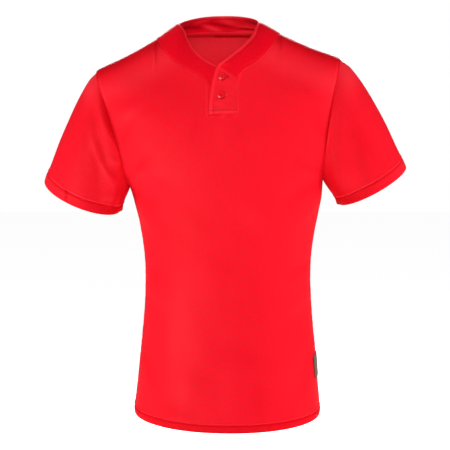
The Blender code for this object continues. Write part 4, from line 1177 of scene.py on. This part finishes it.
def dressPlacket(grid, up, across, toSeam):
    nearTop = smoothStep((up - up[-1:] + 16) / 16)
    form = placketShape["lift"] - 0.9 * gully(toSeam, 5.0) * (1 - nearTop)
    form -= 0.3 * gully(up, 4.0) + 0.5 * gully(across, 0.9) + 0.35 * gully(toSeam, 0.9)
    form += 0.6 * gully(across - 4.0, 3.5) - 0.7 * gully(toStrip, 1.0)
    form += 0.15 * wobble(up, 11.0, 0.5) * gully(toStrip, 5.0)
    form += foldHeight(placketCreases, grid[..., 0], grid[..., 2])
    # painted shade in the groove by the strip's stitching, along the seam and at the free edge; painted light
    # on the edge strip
    shade = 0.3 * gully(toStrip, 0.9) + 0.08 * gully(toSeam, 1.2)
    shade += 0.35 * gully(across, 0.9) - 0.36 * gully(across - 4.6, 2.8)
    # two stitched grooves across the lower end, painted shade in them and a painted highlight on the ridge
    # between them
    for height, groove in placketLook["stitchUp"]:
        form -= groove * gully(up - height, 0.9)
        shade += 0.42 * gully(up - height, 1.0)
    form += 0.8 * gully(up - 3.8, 1.5)
    shade -= 0.9 * gully(up - 3.8, 1.3)
    # each button presses the cloth in; a painted shadow lies round it, most towards the lower right, and
    # darkest under it
    for buttonAcross, height, _ in buttonPlaces.values():
        aside, above = grid[..., 0] - buttonAcross, grid[..., 2] - height
        reach = np.hypot(aside, above)
        form -= 0.35 * gully(reach, 6.0)
        lowRight = 0.55 + 0.45 * (aside - above) / np.maximum(reach, 1.0) / math.sqrt(2)
        shade += 0.9 * lowRight * smoothStep((8.4 - reach) / 1.8) + smoothStep((4.5 - reach) / 1.0)
    # painted shade at the upper buttonhole's end
    endAcross, endHeight, endWidth = placketLook["holeEndShadeSpot"]
    fromEnd = np.hypot(grid[..., 0] - endAcross, grid[..., 2] - endHeight)
    shade += placketLook["holeEndShade"] * gully(fromEnd, endWidth)
    return grid + placketNormals * form[..., None], shade


dressedPlacket, placketShade = dressPlacket(plainPlacket, placketUp, placketAcross, placketToSeam)
placketThick = placketLook["thick"] * (1 - 0.5 * gully(placketAcross, 0.9))
placketInner = innerSkin(dressedPlacket, placketNormals, placketThick)
placketPiece = makeShell("placketOverCloth", dressedPlacket, placketInner, placketKnit, placketShade)
under = (slice(slitRow, None), slice(slitStart, slitEnd + 1))
underGrid = plainFront[under]
underInner = underGrid - outward(plainFront, 1.0)[under] * placketLook["underThick"]
underPiece = makeShell("placketUnderCloth", underGrid, underInner, bandKnit)
addToFrame(placketPiece, "placket_over")
addToFrame(underPiece, "placket_under")
print("placket ready")


def stepsAt(levels, distances):
    # how many grid steps along each line of distances a level is reached
    steps = np.arange(distances.shape[1])
    found = []
    for level, line in zip(np.broadcast_to(levels, len(distances)), distances):
        way = 1 if line[-1] > line[0] else -1
        found.append(np.interp(level, line[::way], steps[::way]))
    return np.array(found)


def stitchLine(grid, normals, r, c):
    return sampleGrid(grid, r, c), sampleGrid(normals, r, c)


bandColumns = np.arange(plainBand.shape[1])
placketRows = np.arange(4, len(plainPlacket))
placketColumns = np.arange(bandRows + 1)
stripColumns = stepsAt(placketLook["strip"], placketAcross)[4:]
seamColumns = stepsAt(placketLook["seamStitch"], placketToSeam)[4:]
neckLines = [stitchLine(dressedBand, bandNormals, stepsAt(bandStrip, bandToEdge.T), bandColumns)]
neckLines.append(stitchLine(dressedPlacket, placketNormals, placketRows, stripColumns))
for height, _ in placketLook["stitchUp"]:
    rows = stepsAt(height, placketUp.T)
    neckLines.append(stitchLine(dressedPlacket, placketNormals, rows, placketColumns))
neckLines.append(stitchLine(dressedPlacket, placketNormals, placketRows, seamColumns))
addToFrame(stitchRows("hemStitches", hemLines, "hem"))
addToFrame(stitchRows("neckStitches", neckLines, "neck"))
print("stitches ready")

buttonLook = {
    "radius": 6.3,
    "thick": 2.3,
    "rim": 2.1,
    "slope": 34.0,  # degrees, of the outer edge
    "dish": 0.95,
    "hole": 2.6,
    "holeSpacing": 3.7,
    "lift": 2.35,
    "steps": 72,
    "threadRadius": 0.12,
    "threadGap": 0.4,
    "sharp": 24.0,  # degrees, edges steeper than this stay crisp
    "colour": (0.9, 0.003, 0.013),
    "worn": (0.8, 0.002, 0.009),
}


def buttonMaterial():
    material, tree, shader, tone, calc = newMaterial("buttonGloss", 160.0, 900.0)
    setInputs(tree, shader, {
        "Base Color": mixColours(tree, tone["Shade"], (*buttonLook["colour"], 1), buttonLook["worn"]),
        "Roughness": calc("ADD", calc("MULTIPLY", tone["Fuzz"], 0.08), 0.3),
        "Specular IOR Level": 0.06,
        "Coat Weight": 0.8,
        "Coat Roughness": 0.16,
    })
    return material


buttonGloss = buttonMaterial()


def lathe(name, profile, steps, material):
    # a profile of radius and height, turned round the z axis
    turns = 2 * math.pi * np.arange(steps) / steps
    rings = []
    for radius, height in profile:
        if radius == 0:
            rings.append([(0.0, 0.0, height)])
        else:
            rings.append([(radius * math.cos(t), radius * math.sin(t), height) for t in turns])
    starts = np.cumsum([0] + [len(ring) for ring in rings]).tolist()
    faces = []
    for k in range(len(rings) - 1):
        a, b = starts[k], starts[k + 1]
        for t in range(steps):
            n = (t + 1) % steps
            if len(rings[k]) == 1:
                faces.append((a, b + t, b + n))
            elif len(rings[k + 1]) == 1:
                faces.append((a + t, b, a + n))
            else:
                faces.append((a + t, b + t, b + n, a + n))
    return newPiece(name, [point for ring in rings for point in ring], faces, material)


def buttonProfile():
    radius, thick, rim = buttonLook["radius"], buttonLook["thick"], buttonLook["rim"]
    dished = thick - buttonLook["dish"]
    inner = radius - rim
    points = [(0.0, dished)]
    for share in np.linspace(0.1, 1.0, 8):  # the dish rises to the rim
        points.append(((inner - 0.5) * share, dished + 0.12 * share**2))
    points += [(inner - 0.25, thick - 0.35), (inner, thick - 0.05), (inner + 0.2, thick)]
    slope = math.tan(math.radians(buttonLook["slope"]))
    points += [(inner + 0.4, thick - 0.03), (inner + 0.55, thick - 0.12)]
    points.append((radius - 0.1, thick - 0.12 - (rim - 0.65) * slope))
    return points + [(radius, 1.0), (radius - 0.25, 0.45), (radius - 1.2, 0.05), (0.0, 0.0)]


def cutHoles(button):
    cutters = []
    for sign in (-1, 1):
        place = (sign * buttonLook["holeSpacing"] / 2 * mm, 0, 0)
        bpy.ops.mesh.primitive_cylinder_add(
            vertices=24, radius=buttonLook["hole"] / 2 * mm, depth=8 * mm, location=place
        )
        cutters.append(bpy.context.object)
        button.modifiers.new("hole", "BOOLEAN").object = cutters[-1]
    graph = bpy.context.evaluated_depsgraph_get()
    mesh = bpy.data.meshes.new_from_object(button.evaluated_get(graph))
    button.modifiers.clear()
    button.data = mesh
    for cutter in cutters:
        bpy.data.objects.remove(cutter, do_unlink=True)


def bodyFrame(across, height):
    # the body's direction to the wearer's left at this place, and its normal
    right = onBody(across + 1, height, "front") - onBody(across - 1, height, "front")
    up = onBody(across, height + 1, "front") - onBody(across, height - 1, "front")
    return unit(right), unit(np.cross(right, up))


def buildButton(name, across, height, turn, node):
    button = lathe(name, buttonProfile(), buttonLook["steps"], buttonGloss)
    cutHoles(button)
    right, normal = bodyFrame(across, height)
    spin = math.radians(turn)
    axisX = right * math.cos(spin) + np.cross(normal, right) * math.sin(spin)
    turnTo = np.stack([axisX, np.cross(normal, axisX), normal], -1)
    centre = onBody(across, height, "front") + normal * buttonLook["lift"]
    points = np.array([v.co for v in button.data.vertices]) / mm
    moved = (points @ turnTo.T + centre) * mm
    button.data.vertices.foreach_set("co", moved.astype(np.float32).ravel())
    button.data.update()
    button.data.shade_smooth()
    button.data.set_sharp_from_angle(angle=math.radians(buttonLook["sharp"]))
    addToFrame(button, node)
    # two strands of thread pass through the holes and over the middle
    level = buttonLook["thick"] - buttonLook["dish"]
    half = buttonLook["holeSpacing"] / 2
    across = half * np.array([-1, -0.9, -0.5, 0, 0.5, 0.9, 1])
    heights = np.array([0.4, level + 0.1, level + 0.35, level + 0.42, level + 0.35, level + 0.1, 0.4])
    strands = []
    for shift in (-buttonLook["threadGap"] / 2, buttonLook["threadGap"] / 2):
        line = np.stack([across, shift + 0 * across, heights], -1)
        strands.append(line @ turnTo.T + centre)
    threads = strandPiece(name + "Thread", strands, buttonLook["threadRadius"], thread, sides=6)
    addToFrame(threads)


for place, (across, height, turn) in buttonPlaces.items():
    buildButton("button" + place.capitalize(), across, height, turn, f"button_{place}")
print("buttons ready")

holeLook = {"long": 15.0, "wide": 2.4, "shift": 1.6, "tilt": 6.0, "turns": 34, "radius": 0.2, "slot": 0.2}


def buttonholeEdge(across, height, edge):
    # thread going to and fro between the slot and the outside of the buttonhole
    tilt = math.radians(holeLook["tilt"])
    sides = (holeLook["slot"], holeLook["wide"] / 2)
    path = []
    for k in range(holeLook["turns"]):
        run = (k / (holeLook["turns"] - 1) - 0.5) * holeLook["long"]
        for side in sides if k % 2 == 0 else sides[::-1]:
            x = across + holeLook["shift"] + run * math.cos(tilt) - edge * side * math.sin(tilt)
            z = height + run * math.sin(tilt) + edge * side * math.cos(tilt)
            path.append(onBody(x, z, "front"))
    return np.array(path) + bodyFrame(across, height)[1] * (placketShape["lift"] + 0.02)


edges = []
for across, height, _ in buttonPlaces.values():
    edges += [buttonholeEdge(across, height, edge) for edge in (-1, 1)]
addToFrame(strandPiece("buttonholeThreads", edges, holeLook["radius"], holeThread, sides=5))
print("buttonholes ready")

tapeLook = {
    "half": 4.2,  # half its width
    "thick": 0.6,
    "off": 0.25,  # how far it lies off the cloth
    "rows": 9,
    "stitched": (1, 7),
    "inset": 2,  # columns left free at each shoulder seam
}


def facingFront(vectors):
    return -vectors if vectors[len(vectors) // 2, 1] > 0 else vectors


seamLine = plainBack[-1, backStart : backStop + 1]
down = unit(plainBack[-1 - fine, backStart : backStop + 1] - seamLine)
rise = unit(plainBand[4, bandStart : bandStop + 1] - seamLine)
inDown, inRise = (facingFront(unit(np.cross(np.gradient(seamLine, axis=0), way))) for way in (down, -rise))
tapeRows = []
for share in np.linspace(-1, 1, tapeLook["rows"]):
    way, inward = (down, inDown) if share < 0 else (rise, inRise)
    if abs(share) < 0.1:
        inward = (inDown + inRise) / 2
    depth = 1.3 + tapeLook["off"] + (0.35 if abs(share) < 0.9 else 0.0)
    tapeRows.append(seamLine + way * abs(share) * tapeLook["half"] + unit(inward) * depth)
inset = slice(tapeLook["inset"], -tapeLook["inset"])
tapeGrid = np.array(tapeRows)[:, inset]
tapeOut = np.broadcast_to(((inDown + inRise) / 2)[inset], tapeGrid.shape)
# painted shadow along the tape's lower edge, strongest from the middle towards the wearer's left, and painted
# light along its upper part
tapeShadowMask = smoothStep((tapeGrid[..., 0] + 14.0) / 10.0) * (1 - smoothStep((tapeGrid[..., 0] - 54.0) / 12.0))
tapeLevel = np.arange(tapeLook["rows"])[:, None]
tapeShade = (0.35 + 0.75 * tapeShadowMask) * gully(tapeLevel, 1.5) - 0.6 * gully(tapeLevel - 6.5, 1.4)
tapeOuter = tapeGrid + tapeOut * tapeLook["thick"]
tapePiece = makeShell("neckTapeCloth", tapeOuter, tapeGrid, tapeWeave, tapeShade, flip=True)
addToFrame(tapePiece, "neck_tape")
tapeTop = tapeGrid + tapeOut * (tapeLook["thick"] + 0.02)
tapeLines = [(tapeTop[row], tapeOut[row]) for row in tapeLook["stitched"]]
addToFrame(stitchRows("tapeStitches", tapeLines, "neck"))
print("neck tape ready")

labelLook = {
    "top": -584.5,
    "bottom": -625.0,
    "reach": 45.0,  # from the side seam inwards
    "sink": 0.6,  # where it starts, from the seam
    "off": 0.5,
    "thick": 0.8,
    "rows": 22,
    "columns": 20,
}
lowerRows = len(hemRows) + span["side"]
last = plainFront.shape[1] - 1
levels = np.linspace(labelLook["bottom"], labelLook["top"], labelLook["rows"])
rows = np.interp(levels, plainFront[:lowerRows, -1, 2], np.arange(lowerRows))
back = lengthsAlong(dressedFront[int(rows.mean())][::-1])
fromSeam = np.linspace(labelLook["reach"], labelLook["sink"], labelLook["columns"])
reach = last - np.interp(fromSeam, back, np.arange(last + 1))
labelRows, labelColumns = np.meshgrid(rows, reach, indexing="ij")
labelBase = sampleGrid(dressedFront, labelRows, labelColumns)
labelOut = sampleGrid(frontNormals, labelRows, labelColumns)
labelShare = np.linspace(0, 1, labelLook["columns"])[None, :, None]
lift = labelLook["off"] + 0.9 * (1 - labelShare) ** 2
level = np.arange(labelLook["rows"])
edgeDrop = 0.25 * gully(np.minimum(level, level[::-1])[:, None, None], 0.8)
labelOuter = labelBase + labelOut * (lift + labelLook["thick"] - edgeDrop)
labelShade = 0.9 * smoothStep((labelShare[..., 0] - 0.62) / 0.2) + np.zeros(labelRows.shape)
labelPiece = makeShell("sideLabelCloth", labelOuter, labelBase + labelOut * lift, labelWeave, labelShade)
addToFrame(labelPiece, "side_label")
print("label ready")

middle = (0.01, 0.0, -0.35)
studio = {
    "floorHeight": -1.35,
    "floorGlow": 0.85,  # keeps the floor as pale as the wall behind it
    "world": 0.13,
    "lamps": {  # place, aim, width and height in m, power in W
        "keyLight": ((0.05, -2.82, 0.5), middle, (1.2, 0.9), 55.0),
        "neckLight": ((0.02, -2.3, 0.02), (0.01, 0.1, -0.05), (0.12, 0.12), 0.02),
        "glintLight": ((-1.62, -2.18, -0.56), (0.0, -0.1, -0.1), (1.15, 0.5), 66.0),
        "backLight": ((0.0, 2.8, 0.7), middle, (1.6, 1.2), 85.0),
        "leftLight": ((-2.7, -0.4, -0.5), middle, (1.0, 1.5), 46.0),
        "rightLight": ((2.7, -0.4, -0.45), middle, (1.0, 1.8), 46.0),
    },
    "neckSpread": 9.0,  # degrees, of the narrow lamp for the inside of the neck
    "camera": (0.0099, -2.4, -0.02),
    "cameraDrop": 0.331,  # how much lower than the camera it aims, at the middle plane
    "lens": 106.7,
    "sensor": 36.0,
}


def inScene(name, data):
    thing = bpy.data.objects.new(name, data)
    bpy.context.scene.collection.objects.link(thing)
    return thing


for name, (place, aim, size, power) in studio["lamps"].items():
    data = bpy.data.lights.new(name, "AREA")
    data.shape = "RECTANGLE"
    data.size, data.size_y = size
    data.energy = power
    light = inScene(name, data)
    light.location = place
    way = np.array(aim, float) - np.array(place, float)
    light.rotation_euler = (math.atan2(math.hypot(way[0], way[1]), -way[2]), 0, math.atan2(-way[0], way[1]))
    light.visible_glossy = name in ("glintLight", "backLight")  # the others would veil the buttons
    light.visible_diffuse = name != "glintLight"  # it only shines in the rims of the buttons
    if name == "neckLight":
        data.spread = math.radians(studio["neckSpread"])

world = bpy.data.worlds.new("paleStudio")
bpy.context.scene.world = world
world.use_nodes = True
tree = world.node_tree
tree.nodes.clear()
path = addNode(tree, "ShaderNodeLightPath").outputs["Is Camera Ray"]
shown = {0: path}
for socket, strength in ((1, studio["world"]), (2, 1.0)):
    shown[socket] = addNode(tree, "ShaderNodeBackground", {0: (1, 1, 1, 1), 1: strength}).outputs[0]
mixed = addNode(tree, "ShaderNodeMixShader", shown).outputs[0]
addNode(tree, "ShaderNodeOutputWorld", {0: mixed})

floorMesh = bpy.data.meshes.new("floor")
floorMesh.from_pydata([(-8, -8, 0), (8, -8, 0), (8, 8, 0), (-8, 8, 0)], [], [(0, 1, 2, 3)])
floor = inScene("floor", floorMesh)
floor.location = (0, 0, studio["floorHeight"])
paleFloor = bpy.data.materials.new("paleFloor")
paleFloor.use_nodes = True
tree = paleFloor.node_tree
path = addNode(tree, "ShaderNodeLightPath").outputs["Is Camera Ray"]
setInputs(tree, tree.nodes["Principled BSDF"], {
    "Base Color": (0.9, 0.9, 0.9, 1),
    "Roughness": 0.9,
    "Emission Color": (1, 1, 1, 1),
    "Emission Strength": calculator(tree)("MULTIPLY", path, studio["floorGlow"]),
})
floorMesh.materials.append(paleFloor)

cameraData = bpy.data.cameras.new("camera")
cameraData.lens = studio["lens"]
cameraData.sensor_width = studio["sensor"]
camera = inScene("camera", cameraData)
camera.location = studio["camera"]
camera.rotation_euler = (math.radians(90) - math.atan2(studio["cameraDrop"], -studio["camera"][1]), 0, 0)
bpy.context.scene.camera = camera
bpy.context.scene.view_settings.view_transform = "Standard"
bpy.context.scene.view_settings.look = "None"
print("stage ready")

bpy.context.view_layer.update()
